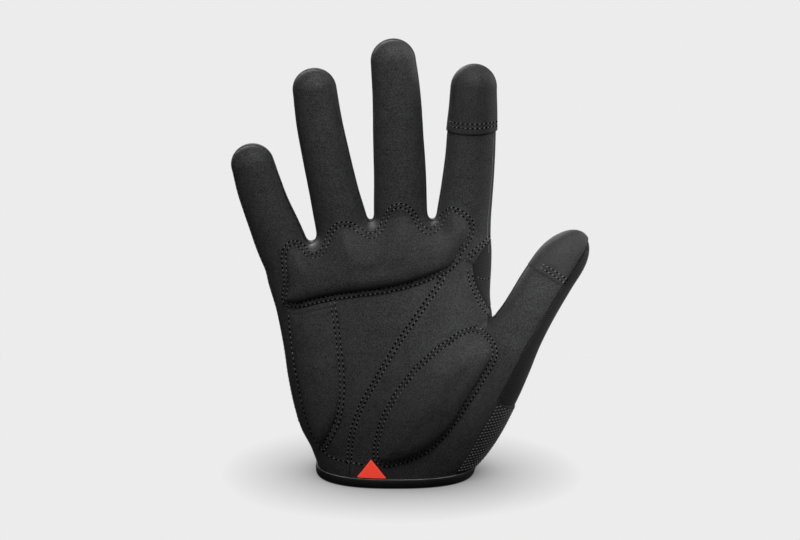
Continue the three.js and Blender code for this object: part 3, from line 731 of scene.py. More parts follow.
class Finish:
    """A material and its nodes."""

    def __init__(self, name, **settings):
        self.material = bpy.data.materials.new(name)
        self.material.use_nodes = True
        self.tree = self.material.node_tree
        self.shader = self.tree.nodes["Principled BSDF"]
        for label, value in settings.items():
            self.shader.inputs[label.replace("_", " ").title().replace("Ior", "IOR")].default_value = value
        self.place = self.tree.nodes.new("ShaderNodeTexCoord").outputs["Object"]

    def node(self, kind, inputs=None, **settings):
        return add_node(self.tree, kind, inputs, settings)

    def to_shader(self, socket, label):
        self.tree.links.new(socket, self.shader.inputs[label])

    def noise(self, grain, detail=2.0, roughness=0.55, stretch=(1, 1, 1)):
        """Cloudy pattern whose patches are about a grain across, in millimetres."""
        place = self.place
        if stretch != (1, 1, 1):
            place = self.node("ShaderNodeMapping", {"Vector": place, "Scale": stretch}).outputs[0]
        inputs = {"Vector": place, "Scale": 1 / (grain * MM), "Detail": detail, "Roughness": roughness}
        return self.node("ShaderNodeTexNoise", inputs).outputs[0]

    def ribs(self, pitch, direction):
        """Bands at a pitch in millimetres, along an axis."""
        scale = 2 * math.pi / (20 * pitch * MM)
        inputs = {"Vector": self.place, "Scale": scale, "Distortion": 0.6, "Detail": 1.0}
        wave = self.node("ShaderNodeTexWave", inputs, wave_type="BANDS", bands_direction=direction)
        return wave.outputs[1]

    def mixed(self, share, first, second):
        """A colour between two colours."""
        mix = self.node("ShaderNodeMix", {0: share, 6: first, 7: second}, data_type="RGBA")
        return mix.outputs[2]

    def levels(self, value, low, high, out_low=0.0, out_high=1.0):
        """A value moved from one range to another."""
        names = ("Value", "From Min", "From Max", "To Min", "To Max")
        inputs = dict(zip(names, (value, low, high, out_low, out_high)))
        return self.node("ShaderNodeMapRange", inputs).outputs[0]

    def sum(self, first, second, weight):
        """The first value and a weighted second one."""
        inputs = {0: second, 1: weight, 2: first}
        return self.node("ShaderNodeMath", inputs, operation="MULTIPLY_ADD").outputs[0]

    def colour(self, share, first, second):
        self.to_shader(self.mixed(share, first, second), "Base Color")

    def shade(self, value, low, high, dark, light):
        """Greys from dark to light, as a value goes from low to high."""
        self.colour(self.levels(value, low, high), grey(dark), grey(light))

    def rough(self, value, low, high, first, second):
        """Roughness from a first to a second one, as a value goes from low to high."""
        self.to_shader(self.levels(value, low, high, first, second), "Roughness")

    def bump(self, height, depth, strength):
        """Relief of a depth in millimetres."""
        inputs = {"Height": height, "Distance": depth * MM, "Strength": strength}
        self.to_shader(self.node("ShaderNodeBump", inputs).outputs[0], "Normal")


def grey(value):
    """A grey that is very slightly blue."""
    return (value, value, value * 1.03, 1)


def suede(name, dark, light, grain=0.55):
    """Matte nap with fine mottling and slow darker and lighter patches."""
    finish = Finish(name, roughness=0.72, specular_ior_level=0.4, sheen_weight=0.02, sheen_roughness=0.6)
    finish.shader.inputs["Sheen Tint"].default_value = grey(0.6)
    fine = finish.noise(grain, 2.0, 0.65)
    share = finish.sum(fine, finish.noise(7.0, 2.0), 0.16)
    finish.shade(share, 0.42, 0.75, dark, light)
    finish.rough(fine, 0.3, 0.7, 0.8, 0.66)
    finish.bump(finish.sum(fine, finish.noise(grain * 2.6), 0.5), 0.12, 0.8)
    return finish.material


def stretch_cloth(name, dark, light, pitch=1.1):
    """Cloth with level ribs."""
    finish = Finish(name, roughness=0.85, specular_ior_level=0.2, sheen_weight=0.05, sheen_roughness=0.5)
    ribs = finish.ribs(pitch, "Z")
    fine = finish.noise(0.5, 2.0)
    share = finish.sum(finish.sum(ribs, fine, 0.5), finish.noise(14.0), 0.4)
    finish.shade(share, 0.4, 1.5, dark, light)
    finish.rough(ribs, 0.0, 1.0, 0.92, 0.78)
    finish.bump(finish.sum(ribs, fine, 0.4), 0.16, 0.6)
    return finish.material


def back_knit(name, dark, light):
    """Fine knit whose loops run up the hand."""
    finish = Finish(name, roughness=0.85, specular_ior_level=0.25, sheen_weight=0.1, sheen_roughness=0.5)
    loops = finish.noise(0.7, 1.0, stretch=(1, 1, 0.4))
    fine = finish.noise(0.4, 1.0)
    share = finish.sum(finish.sum(loops, fine, 0.5), finish.noise(12.0), 0.2)
    finish.shade(share, 0.6, 1.1, dark, light)
    finish.rough(loops, 0.3, 0.7, 0.92, 0.78)
    finish.bump(finish.sum(loops, fine, 0.4), 0.2, 0.8)
    return finish.material


def smooth_binding(name, dark, light):
    """Close elastic weave."""
    finish = Finish(name, roughness=0.6, specular_ior_level=0.15, sheen_weight=0.02)
    ribs = finish.ribs(0.7, "Z")
    share = finish.sum(finish.noise(0.6), finish.noise(9.0), 0.6)
    finish.shade(share, 0.5, 1.1, dark, light)
    finish.rough(share, 0.5, 1.1, 0.56, 0.66)
    finish.bump(ribs, 0.05, 0.5)
    return finish.material


def sewing_thread(name, value):
    """Twisted thread with fine strands."""
    finish = Finish(name, roughness=0.6, specular_ior_level=0.3, sheen_weight=0.1)
    strands = finish.noise(0.25, 1.0)
    finish.shade(strands, 0.3, 0.7, value * 0.7, value * 1.25)
    finish.rough(strands, 0.3, 0.7, 0.5, 0.7)
    finish.bump(strands, 0.05, 0.6)
    return finish.material


def rubber_dot(name, value):
    """Printed rubber, a little glossy."""
    finish = Finish(name, roughness=0.45, specular_ior_level=0.4)
    fine = finish.noise(0.3)
    finish.colour(fine, grey(value * 0.75), grey(value * 1.2))
    finish.rough(fine, 0.3, 0.7, 0.38, 0.55)
    finish.bump(fine, 0.03, 0.5)
    return finish.material


def needle_pit_shade(name):
    """Near-black finish that paints the shade inside the hole that a needle leaves."""
    finish = Finish(name, roughness=1.0, specular_ior_level=0.0)
    fine = finish.noise(0.3, 1.0)
    finish.colour(fine, grey(0.0008), grey(0.002))
    return finish.material


def red_tab(name):
    """Bright woven tab that glows a little, so it stays red in the shade."""
    finish = Finish(name, roughness=0.55, specular_ior_level=0.3, sheen_weight=0.1, emission_strength=0.5)
    finish.shader.inputs["Emission Color"].default_value = (1.0, 0.07, 0.04, 1)
    weave = finish.sum(finish.ribs(0.35, "X"), finish.ribs(0.35, "Z"), 1.0)
    share = finish.sum(weave, finish.noise(1.5), 0.6)
    finish.colour(finish.levels(share, 0.4, 2.4), (0.62, 0.026, 0.012, 1), (0.9, 0.06, 0.03, 1))
    finish.rough(weave, 0.0, 2.0, 0.5, 0.65)
    finish.bump(weave, 0.04, 0.5)
    return finish.material


SUEDE = suede("charcoal_suede", 0.006, 0.05)
# A darker copy of the suede paints extra shade on the metacarpal and thenar pads
SHADED_PAD_SUEDE = suede("charcoal_suede_darkened_on_pads_as_painted_shade", 0.003, 0.037)
TIP_SUEDE = suede("smooth_suede_at_the_tips", 0.006, 0.034, 0.5)
STRETCH = stretch_cloth("black_stretch_cloth", 0.008, 0.02)
KNIT = back_knit("black_knit", 0.01, 0.04)
BINDING = smooth_binding("smooth_black_binding", 0.003, 0.007)
# A pale copy of the binding's finish paints the highlight along the binding's top edge
BINDING_HIGHLIGHT = smooth_binding("binding_painted_highlight", 0.16, 0.24)
PATCH_CLOTH = stretch_cloth("patch_cloth", 0.005, 0.012, 0.7)
# The thread's grey is partly the thread's own colour and partly a painted highlight on the stitches
THREAD_WITH_HIGHLIGHT = sewing_thread("grey_thread_with_painted_highlight", 0.17)
DOT = rubber_dot("pale_grip_dots", 0.17)
TAB = red_tab("red_tab_cloth")
# Near-black beads paint the shade in the needle holes
PIT_SHADE = needle_pit_shade("shaded_needle_pit")

PANEL_FINISH = dict.fromkeys(PANELS, (STRETCH, "stretch"))
PANEL_FINISH.update(palm_panel=(SUEDE, "suede"), thumb_panel=(SUEDE, "suede"), back_panel=(KNIT, "knit"))

# The net that every piece is cut from
net_points, net_squares = surface_net(sampled_skin(NET_STEP), NET_STEP)
net_points = relaxed(net_points, net_squares)
net_tris = triangles_of(net_points, net_squares)

# Panels: how far cloth turns down at a seam and over what width, and how much less near the diagonal seam
ROLL_DEPTH = 0.4
ROLL_WIDTH = 0.8
DIAGONAL_CALM = 0.8
DIAGONAL_NEAR = 3

# How uneven the cloth is, how far inside a seam it is fully so, the thinnest that it gets, and how far inside
# an edge there is a line of points
UNEVEN = 0.07
UNEVEN_RUN = 4
THINNEST = 0.3
EDGE_RING = 0.25


def rolled(inside, depth, width):
    """How far cloth has turned down towards its seam, at a distance inside its edge."""
    return -depth * (1 - np.sqrt(1 - np.clip(1 - inside / width, 0, 1) ** 2))


pieces = {}


def finish_piece(piece, slot, *nodes):
    """Attach a piece to what it rides on and hide the CAD nodes that it stands for; slot is not used."""
    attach(piece, "root")
    if nodes:
        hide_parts(*nodes)
    pieces[piece.name] = piece


def make_panel(name):
    """One panel of the shell, with its edges turned down into its seams."""
    region = PANELS[name]

    def inner(p):
        return region(p) + SEAM_GAP / 2

    points, tris = cut_out(net_points, net_tris, inner, rings=(EDGE_RING, ROLL_WIDTH))
    inside = -inner(points)
    calm = DIAGONAL_CALM * np.exp(-((from_line(DIAGONAL_SEAM, points) / DIAGONAL_NEAR) ** 2))
    uneven = UNEVEN * ripple(points, 17, 3) * np.clip(inside / UNEVEN_RUN, 0, 1)
    top = rolled(inside, ROLL_DEPTH * (1 - calm), ROLL_WIDTH) + uneven
    bottom = np.minimum(np.full(len(points), -CLOTH), top - THINNEST)
    material, slot = PANEL_FINISH[name]
    finish_piece(closed_piece(name + "_cloth", points, tris, top, bottom, material), slot, name)


for panel in PANELS:
    make_panel(panel)

# Pads: how far the middle of the two rows lies inside a pad's edge, and how far each row is from that middle
ROWS_INSIDE = 1.7
ROW_HALF = 0.93
ROWS = (ROWS_INSIDE - ROW_HALF, ROWS_INSIDE + ROW_HALF)

# Height of the stitched border and what is left of it at the edge, and how deep and wide a row sinks in
PAD_BORDER = 0.5
PAD_FOOT = 0.08
ROW_SINK = 0.22
ROW_SINK_WIDTH = 0.45

# Where the foam starts, how much wider and lower it rises where it is soft, and how it sags from the middle
FOAM_START = ROWS[1] + 0.2
SOFT_SHOULDER = 2.2
SOFT_RISE = 0.55
SAG_MIDDLE = 0.55
SAG_GROWTH = 0.5

# How far behind the side seam a pad may reach, how uneven it is and how full of foam
PAD_BACK = 2
PAD_UNEVEN = 0.14


def pad_height(inside, rise, shoulder, sag):
    """Height of a pad over the skin at a distance inside its edge: a stitched border, then the foam.

    Where sag is one the foam stands full and drops steeply to the rows. Where it is zero it slopes gently.
    """
    border = PAD_BORDER + rolled(inside, PAD_BORDER - PAD_FOOT, ROLL_WIDTH)
    for row in ROWS:
        border = border - ROW_SINK * np.exp(-(((inside - row) / ROW_SINK_WIDTH) ** 2))
    steep = np.clip((inside - FOAM_START) / shoulder, 0, 1)
    flat = np.clip((inside - FOAM_START) / (SOFT_SHOULDER * shoulder), 0, 1)
    full = np.sqrt(1 - (1 - steep) ** 2)
    soft = flat * flat * (3 - 2 * flat)
    return border + rise * (sag * full + SOFT_RISE * (1 - sag) * soft)


def fine_cut(region, rings):
    """A region cut out of a finer net, for what lies on the shell."""
    near = region(net_points)[net_tris].min(1) < 1.5 * NET_STEP
    return cut_out(*refined(*compact(net_points, net_tris[near])), region, rings)


def pad_region(outline, p):
    """Region of a pad whose rows run along an outline."""
    value = outline_distance(outline, p[:, 0], p[:, 2]) - ROWS_INSIDE
    return np.maximum(value, p[:, 1] - side_seam(p[:, 2]) - PAD_BACK)


def make_pad(name, outline, rise, shoulder, low_side, material, beside=None):
    """Padded piece; low_side is the middle of the pad, the way it sags and how far its edge is that way."""
    middle, way, reach = low_side

    def region(p):
        value = pad_region(outline, p)
        return value if beside is None else np.maximum(value, SEAM_GAP - pad_region(beside, p))

    points, tris = fine_cut(region, (EDGE_RING, ROLL_WIDTH))
    inside = -region(points)
    sag = ((points[:, [0, 2]] - middle) @ np.array(way)) / reach
    sag = np.clip(SAG_MIDDLE + SAG_GROWTH * sag, 0, 1)
    top = LAYER_GAP + pad_height(inside, rise, shoulder, sag)
    top = top + PAD_UNEVEN * ripple(points, 15, 8) * np.clip((inside - 3) / 6, 0, 1)
    piece = closed_piece(name + "_cloth", points, tris, top, LAYER_GAP, material)
    finish_piece(piece, "suede", name)


metacarpal_line = smooth_line(METACARPAL_LINE, 1.0, closed=True)
thenar_line = smooth_line(THENAR_LINE, 1.0, closed=True)
ulnar_seam = smooth_line(ULNAR_SEAM, 1.0)
hem_line = smooth_line(HEM_LINE, 1.0)
diagonal_seam = smooth_line(DIAGONAL_SEAM, 1.0)
ULNAR_FOOT = (-35.2, 17.5)
ULNAR_LEFT_BOTTOM = 19
ulnar_left = [at for at in hem_line[::-1] if at[1] > ULNAR_LEFT_BOTTOM]
ulnar_outline = [*ulnar_seam, ULNAR_FOOT, *ulnar_left]

# Each pad's outline, rise, shoulder, and its middle, the way it sags and its reach that way
make_pad("metacarpal_pad", [*metacarpal_line], 5.2, 6.5, ((-8, 107), (0.262, -0.965), 14), SHADED_PAD_SUEDE)
make_pad("thenar_pad", [*thenar_line], 5.6, 8.0, ((18, 42), (0.75, -0.66), 16), SHADED_PAD_SUEDE)
make_pad("ulnar_pad", ulnar_outline, 3.2, 6.5, ((-38, 52), (0.6, -0.8), 26), SUEDE, [*metacarpal_line])

# Layers: the line of points beside each edge, how much of their thickness turns down there, and how uneven
# they are
LAYER_RING = 0.2
LAYER_ROLL = 0.7
LAYER_UNEVEN = 0.04


def make_layer(name, region, thickness, material, slot, edge=0.5):
    """Thin piece of cloth on the outside of the shell."""
    points, tris = fine_cut(region, (LAYER_RING, edge))
    roll = rolled(-region(points), thickness * LAYER_ROLL, edge)
    top = LAYER_GAP + thickness + roll + LAYER_UNEVEN * ripple(points, 12, 5)
    finish_piece(closed_piece(name + "_cloth", points, tris, top, LAYER_GAP, material), slot, name)


TIP_CAP = 0.65
INDEX_CAP_BOTTOM = 164.0
INDEX_CAP_MIDDLE = 34
INDEX_CAP_BOW = 0.006
INDEX_CAP_BACK = 1.5
INDEX_CAP_HALF = 15
THUMB_CAP_LINE = [(59, 104.7), (62.7, 104.4), (68.6, 101.5), (75, 96.8)]
THUMB_CAP_INSET = 0.4


def index_cap_region(p):
    """The index fingertip's patch, with its lower edge bowed upwards at the sides."""
    x, y, z = p.T
    hem = INDEX_CAP_BOTTOM + INDEX_CAP_BOW * (x - INDEX_CAP_MIDDLE) ** 2 - z
    across = limb_frame("index", p)[1]
    return np.max([hem, y - side_seam(z) - INDEX_CAP_BACK, np.abs(across) - INDEX_CAP_HALF], axis=0)


def thumb_cap_region(p):
    """The thumb tip's patch, up to the seam of the thumb's back."""
    outline = [(50, 107.5), *THUMB_CAP_LINE, (80, 92), (110, 110), (110, 135), (60, 135)]
    seam = [*THUMB_SEAM, *on_thumb((1.1, -3), (0.21, -3))]
    cap = outline_distance(outline, p[:, 0], p[:, 2])
    panel = outline_distance(seam, p[:, 0], p[:, 2]) + THUMB_CAP_INSET
    return np.max([cap, panel, p[:, 1] - thumb_middle(p[:, 2])], axis=0)


make_layer("index_tip_cap", index_cap_region, TIP_CAP, TIP_SUEDE, "tip_suede")
make_layer("thumb_tip_cap", thumb_cap_region, TIP_CAP, TIP_SUEDE, "tip_suede")

PATCH_LEFT = [
    (46.5, 39.2), (44.4, 34.2), (41.7, 29.8), (39.2, 25.4), (36.8, 20.5), (34, 15), (30.9, 10.2), (27.8, 4.9),
]
PATCH_TOP = [(50.5, 37.3), (54.1, 34.7), (70, 28)]
PATCH_BACK = 4


def patch_region(p):
    """The dotted patch on the thumb's side of the wrist."""
    outline = [*PATCH_TOP[::-1], *PATCH_LEFT, (70, 4.9)]
    return np.maximum(outline_distance(outline, p[:, 0], p[:, 2]), p[:, 1] - PATCH_BACK)


make_layer("wrist_patch", patch_region, 0.35, PATCH_CLOTH, "dotted_grip", 0.3)

TAB_OUTLINE = [(-11.5, 14), (-18.1, 4.75), (-4.5, 4.75)]


def tab_region(p):
    """The red triangle above the binding."""
    return np.maximum(outline_distance(TAB_OUTLINE, p[:, 0], p[:, 2]), p[:, 1])


make_layer("pull_tab", tab_region, 0.8, TAB, "tab", 0.35)

# Binding round the hem: a folded profile of (outwards, up) points swept round the wrist
BINDING_PROFILE = [
    (-2.75, 0.6), (-2.45, 0.1), (-1.8, 0.0), (0.6, 0.0), (1.15, 0.12), (1.45, 0.7), (1.5, 2.0), (1.35, 3.2),
    (1.1, 3.75), (0.8, 3.9), (0.4, 3.8), (0.16, 3.5), (0.16, 1.28), (-1.74, 1.28), (-1.74, 3.6), (-2.1, 3.9),
    (-2.5, 3.8), (-2.75, 3.2),
]
BINDING_STEPS = 420
HALVINGS = 26


def wrist_ring(z):
    """Points of the skin round the wrist at a height, found by halving, and the level way out of it."""
    turn = np.arange(BINDING_STEPS) / BINDING_STEPS * 2 * math.pi
    way = np.stack([np.cos(turn), np.sin(turn), np.zeros(BINDING_STEPS)], 1)
    near, far = np.full(BINDING_STEPS, 5.0), np.full(BINDING_STEPS, 60.0)
    centre = np.array([0.0, 0.0, z])
    for _ in range(HALVINGS):
        middle = (near + far) / 2
        inside = skin_distance(centre + way * middle[:, None]) < 0
        near, far = np.where(inside, middle, near), np.where(inside, far, middle)
    ring = centre + way * near[:, None]
    out = skin_slope(ring)
    out[:, 2] = 0
    return ring, unit(out)


def swept(name, profile, material):
    """A closed profile of (outwards, up) points carried round the wrist."""
    points, faces = [], []
    step = np.arange(BINDING_STEPS)
    ahead = (step + 1) % BINDING_STEPS
    for side, (out, up) in enumerate(profile):
        ring, way = wrist_ring(up)
        points.append(ring + way * out)
        here, there = side * BINDING_STEPS, (side + 1) % len(profile) * BINDING_STEPS
        faces.append(np.stack([here + step, here + ahead, there + ahead, there + step], 1))
    return mesh_object(name, np.concatenate(points), np.concatenate(faces), material, 60)


finish_piece(swept("cuff_binding_cloth", BINDING_PROFILE, BINDING), "binding", "cuff_binding")

# The painted highlight along the binding's top: a pale oval thread of eight sides on top of the binding
HIGHLIGHT_PIPING = [
    (0.6 + 0.26 * math.cos(turn), 4.05 + 0.2 * math.sin(turn)) for turn in np.arange(8) / 8 * 2 * math.pi
]
finish_piece(swept("cuff_binding_edge", HIGHLIGHT_PIPING, BINDING_HIGHLIGHT), "binding")


# Stitches and grip dots by geometry nodes


# Where rays start from, in front of the glove and beside it, and how far threads stand out from the cloth
FRONT_START = -90
SIDE_START = 100
THREAD_LIFT = 0.04
SIDE_LIFT = 0.03


def sewn_surface():
    """All the pieces sewn so far, for finding the surface under a stitch."""
    points, faces = [], []
    total = 0
    for piece in pieces.values():
        mesh = piece.data
        mesh.calc_loop_triangles()
        co = np.empty(len(mesh.vertices) * 3)
        mesh.vertices.foreach_get("co", co)
        tri = np.empty(len(mesh.loop_triangles) * 3, int)
        mesh.loop_triangles.foreach_get("vertices", tri)
        points.append(co.reshape(-1, 3) / MM)
        faces.append(tri.reshape(-1, 3) + total)
        total += len(mesh.vertices)
    return BVHTree.FromPolygons(np.concatenate(points).tolist(), np.concatenate(faces).tolist())


surface = sewn_surface()


def met(start, way):
    """Place and normal where a line from outside first meets the glove, if it does."""
    place, normal, _, _ = surface.ray_cast(Vector(start), Vector(way))
    return None if place is None else (*place, *normal)


def on_front(line):
    """Points and smooth normals where a line of the front view meets the front of the glove."""
    hits = [met((x, FRONT_START, z), (0, 1, 0)) for x, z in line]
    places = np.array([hit for hit in hits if hit])
    normals = places[:, 3:]
    for _ in range(2):
        normals = (normals + np.roll(normals, 1, 0) + np.roll(normals, -1, 0)) / 3
    return places[:, :3], unit(normals)


class Tree:
    """A geometry node tree with inputs for its sizes and its finish."""

    def __init__(self, name, sizes):
        self.tree = bpy.data.node_groups.new(name, "GeometryNodeTree")
        face = self.tree.interface
        face.new_socket("Geometry", in_out="INPUT", socket_type="NodeSocketGeometry")
        kinds = dict.fromkeys(sizes, "NodeSocketFloat")
        kinds["Finish"] = "NodeSocketMaterial"
        self.ids = {}
        for label, kind in kinds.items():
            self.ids[label] = face.new_socket(label, in_out="INPUT", socket_type=kind).identifier
        face.new_socket("Geometry", in_out="OUTPUT", socket_type="NodeSocketGeometry")
        self.given = self.tree.nodes.new("NodeGroupInput").outputs
        self.result = self.tree.nodes.new("NodeGroupOutput").inputs[0]

    def node(self, kind, inputs=None, **settings):
        return add_node(self.tree, kind, inputs, settings).outputs[0]

    def apply(self, name, source, values):
        """The finished plain mesh of the tree on a source object."""
        modifier = source.modifiers.new(name, "NODES")
        modifier.node_group = self.tree
        for label, value in values.items():
            modifier[self.ids[label]] = value
        graph = bpy.context.evaluated_depsgraph_get()
        mesh = bpy.data.meshes.new_from_object(source.evaluated_get(graph))
        source.modifiers.clear()
        bpy.data.objects.remove(source)
        mesh.name = name
        piece = bpy.data.objects.new(name, mesh)
        bpy.context.scene.collection.objects.link(piece)
        return piece


BEAD_SIZES = ("Length", "Width", "Height")


def bead(tree):
    """A round bead as long, wide and high as the tree is told."""
    ball = tree.node("GeometryNodeMeshUVSphere", {"Segments": 8, "Rings": 4, "Radius": 0.5})
    scale = tree.node("ShaderNodeCombineXYZ", {i: tree.given[label] for i, label in enumerate(BEAD_SIZES)})
    return tree.node("GeometryNodeTransform", {"Geometry": ball, "Scale": scale})


def standing(tree, way, axis):
    """Rotation that stands an instance on the surface and turns one of its level axes a given way."""
    normal = tree.node("GeometryNodeInputNamedAttribute", {"Name": "facing"}, data_type="FLOAT_VECTOR")
    ways = {"Primary Axis": normal, "Secondary Axis": way}
    return tree.node("FunctionNodeAxesToRotation", ways, primary_axis="Z", secondary_axis=axis)


def placed_beads(tree, points, one, rotation):
    """Close the tree: a copy of one bead on each point, made real, smooth and finished."""
    inputs = {"Points": points, "Instance": one, "Rotation": rotation}
    placed = tree.node("GeometryNodeInstanceOnPoints", inputs)
    real = tree.node("GeometryNodeRealizeInstances", {"Geometry": placed})
    smooth = tree.node("GeometryNodeSetShadeSmooth", {"Geometry": real})
    inputs = {"Geometry": smooth, "Material": tree.given["Finish"]}
    tree.tree.links.new(tree.node("GeometryNodeSetMaterial", inputs), tree.result)
    return tree


def row_tree():
    """Beads along rows, for threads and for the dark beads between them that paint the shade in the needle
    holes.
    """
    tree = Tree("sewn_rows", ("Pitch", *BEAD_SIZES, "Ahead", "Slant"))
    given = tree.given
    curve = tree.node("GeometryNodeMeshToCurve", {"Mesh": given["Geometry"]})
    spaced = tree.node("GeometryNodeResampleCurve", {"Curve": curve, "Length": given["Pitch"]}, mode="LENGTH")
    angles = tree.node("ShaderNodeCombineXYZ", {2: given["Slant"]})
    turn = tree.node("FunctionNodeEulerToRotation", {0: angles})
    ahead = tree.node("ShaderNodeCombineXYZ", {0: given["Ahead"]})
    moved = {"Geometry": bead(tree), "Rotation": turn, "Translation": ahead}
    one = tree.node("GeometryNodeTransform", moved)
    return placed_beads(tree, spaced, one, standing(tree, tree.node("GeometryNodeInputTangent"), "X"))


def path_object(name, rows):
    """Rows of points joined in lines, with the surface's normal at each point."""
    mesh = bpy.data.meshes.new(name)
    points, normals, edges = [], [], []
    total = 0
    for places, ways, closed in rows:
        count = len(places)
        points.append(places * MM)
        normals.append(ways)
        edges += [(total + i, total + i + 1) for i in range(count - 1)]
        if closed:
            edges.append((total + count - 1, total))
        total += count
    mesh.from_pydata(np.concatenate(points).tolist(), edges, [])
    facing_layer = mesh.attributes.new("facing", "FLOAT_VECTOR", "POINT")
    facing_layer.data.foreach_set("vector", np.concatenate(normals).ravel())
    source = bpy.data.objects.new(name, mesh)
    bpy.context.scene.collection.objects.link(source)
    return source


def front_row(line, closed=False):
    """One row on the front of the glove: its places, its normals and whether it is closed."""
    places, normals = on_front(line)
    return places + normals * THREAD_LIFT, normals, closed


def pair_of_rows(line, closed=False):
    """Two rows, one on each side of a line."""
    return [front_row(shifted(line, side, closed), closed) for side in (-ROW_HALF, ROW_HALF)]


sewn_rows = row_tree()
STITCH_SLANT = math.radians(22)


def row_piece(name, rows, sizes, slant, finish):
    """Beads along rows; sizes are the pitch, a bead's length, width and height, and how far ahead it lies."""
    values = {label: size * MM for label, size in zip(("Pitch", *BEAD_SIZES, "Ahead"), sizes)}
    values.update({"Slant": slant, "Finish": finish})
    finish_piece(sewn_rows.apply(name, path_object(name + "_rows", rows), values), "suede")


def sew(name, rows, pitch, thread, pit):
    """Threads, and between them dark beads that paint the shade in the needle holes; thread and pit are
    length, width and height.
    """
    row_piece(name + "_pit_shade", rows, (pitch, *pit, pitch / 2), 0.0, PIT_SHADE)
    row_piece(name + "_stitches", rows, (pitch, *thread, 0.0), STITCH_SLANT, THREAD_WITH_HIGHLIGHT)


def side_row(limits, forward, way):
    """A row up a side of the glove, at a distance to the palm's side of the seam."""
    hits = []
    for z in np.arange(*limits, 1.0):
        y = float(side_seam(np.array([z]))[0]) - forward
        hits.append(met((-SIDE_START * way, y, z), (way, 0, 0)))
    places = np.array([hit for hit in hits if hit])
    return [(places[:, :3] + places[:, 3:] * SIDE_LIFT, places[:, 3:], False)]


close_rows = pair_of_rows(metacarpal_line, True) + pair_of_rows(thenar_line, True)
close_rows += pair_of_rows(diagonal_seam[2:])
index_side = smooth_line([(32.2, 105), (34.6, 108.2), (37.7, 110.8), (41.2, 113), (42.6, 114)], 1.0)
thumb_side = smooth_line([(33.6, 101), (34.9, 95), (37, 89.6), (39.6, 84), (42.6, 80)], 1.0)
close_rows += pair_of_rows(index_side) + pair_of_rows(thumb_side)
sew("palm", close_rows, 2.2, (0.85, 0.42, 0.5), (1.25, 0.85, 0.3))
# The hem's row stops beside the tab
TAB_LEFT = -14.2
hem_row = hem_line[hem_line[:, 0] < TAB_LEFT]
sew("edge", [*pair_of_rows(ulnar_seam[2:]), front_row(hem_row)], 2.5, (0.9, 0.42, 0.5), (1.3, 0.85, 0.3))
INDEX_LEVELS = (167.4, 169.4)
index_rows = [smooth_line([(24.4, z), (34.5, z - 0.4), (44.4, z)], 0.8) for z in INDEX_LEVELS]
thumb_rows = [
    smooth_line([(66.4, 106.9), (71.3, 104.4), (76.4, 100.7)], 0.8),
    smooth_line([(65.4, 105.2), (70.2, 102.7), (75.3, 99.1)], 0.8),
]
gusset_row = smooth_line([(37.8, 97), (40, 95.8), (42, 95.4)], 0.8)
tip_rows = [front_row(line) for line in (*index_rows, *thumb_rows, gusset_row)]
sew("tip", tip_rows, 2.0, (0.8, 0.36, 0.4), (1.1, 0.7, 0.26))
sew("side", side_row((26, 146), 0.9, 1), 2.2, (1.0, 0.4, 0.5), (0.9, 0.6, 0.26))
row_piece("index_side_thread", side_row((108, 162), 2.6, -1), (0.9, 1.1, 0.28, 0.3, 0.0), 0.0, THREAD_WITH_HIGHLIGHT)


def dot_tree():
    """A flat bead on each point, level and standing on the surface."""
    tree = Tree("grip_dots", BEAD_SIZES)
    points = tree.node("GeometryNodeMeshToPoints", {"Mesh": tree.given["Geometry"]})
    return placed_beads(tree, points, bead(tree), standing(tree, (0, 0, 1), "Y"))


DOT_PITCH = 1.75
DOT_SIZES = (1.2, 0.62, 0.4)
DOT_INSET = 0.9
DOT_BORDER = 0.5
MOST_DOTS = 24
WRIST_MIDDLE = np.array([20.0, 0.0])
OUTSIDE_WRIST = 30
patch_left = smooth_line(PATCH_LEFT[::-1], DOT_PITCH)


def dot_places():
    """Rows of dots beside the patch's left edge, going round the side of the wrist."""
    places = []
    for x, z in patch_left[1:]:
        hit = met((x + DOT_INSET, FRONT_START, z), (0, 1, 0))
        if hit is None:
            continue
        at = np.array(hit[:3])
        for _ in range(MOST_DOTS):
            outwards = unit((at[:2] - WRIST_MIDDLE)[None])[0] * OUTSIDE_WRIST
            probe = Vector((*(at[:2] + outwards), at[2]))
            hit = met(probe, (*(WRIST_MIDDLE - probe.to_2d()), 0))
            if hit is None:
                break
            at = np.array(hit[:3])
            if patch_region(at[None])[0] > -DOT_BORDER:
                break
            places.append(hit)
            way = np.array(Vector(hit[3:]).cross(Vector((0, 0, 1))))
            way = -way if way[1] < 0 else way
            at = at + way / np.linalg.norm(way) * DOT_PITCH
    places = np.array(places)
    return places[:, :3], places[:, 3:]


dot_points, dot_normals = dot_places()
dot_source = path_object("grip_dot_places", [(dot_points, dot_normals, False)])
dot_values = {label: size * MM for label, size in zip(BEAD_SIZES, DOT_SIZES)}
dots = dot_tree().apply("wrist_patch_dots", dot_source, {**dot_values, "Finish": DOT})
finish_piece(dots, "dotted_grip")

# Floor, light and camera. The shadow's reach and the floor are in millimetres and all that follows in metres.
BACKGROUND = 0.839
AMBIENT = 0.05
SHADOW_REACH = 44.0
SHADOW_POWER = 1.15
FLOOR_HALF = 900.0
FLOOR_DROP = 0.0002


def floor_finish():
    """A floor that glows as pale as the background, with a painted shadow: its glow darkens only near the
    glove.
    """
    finish = Finish("pale_floor", roughness=1.0, specular_ior_level=0.0)
    reach = {"Distance": SHADOW_REACH * MM}
    near = finish.node("ShaderNodeAmbientOcclusion", reach, samples=32).outputs["AO"]
    soft = finish.node("ShaderNodeMath", {0: near, 1: SHADOW_POWER}, operation="POWER").outputs[0]
    glow = finish.node("ShaderNodeMath", {0: soft, 1: BACKGROUND}, operation="MULTIPLY").outputs[0]
    finish.shader.inputs["Base Color"].default_value = (0, 0, 0, 1)
    finish.shader.inputs["Emission Color"].default_value = (1, 1, 1, 1)
    finish.to_shader(glow, "Emission Strength")
    return finish.material


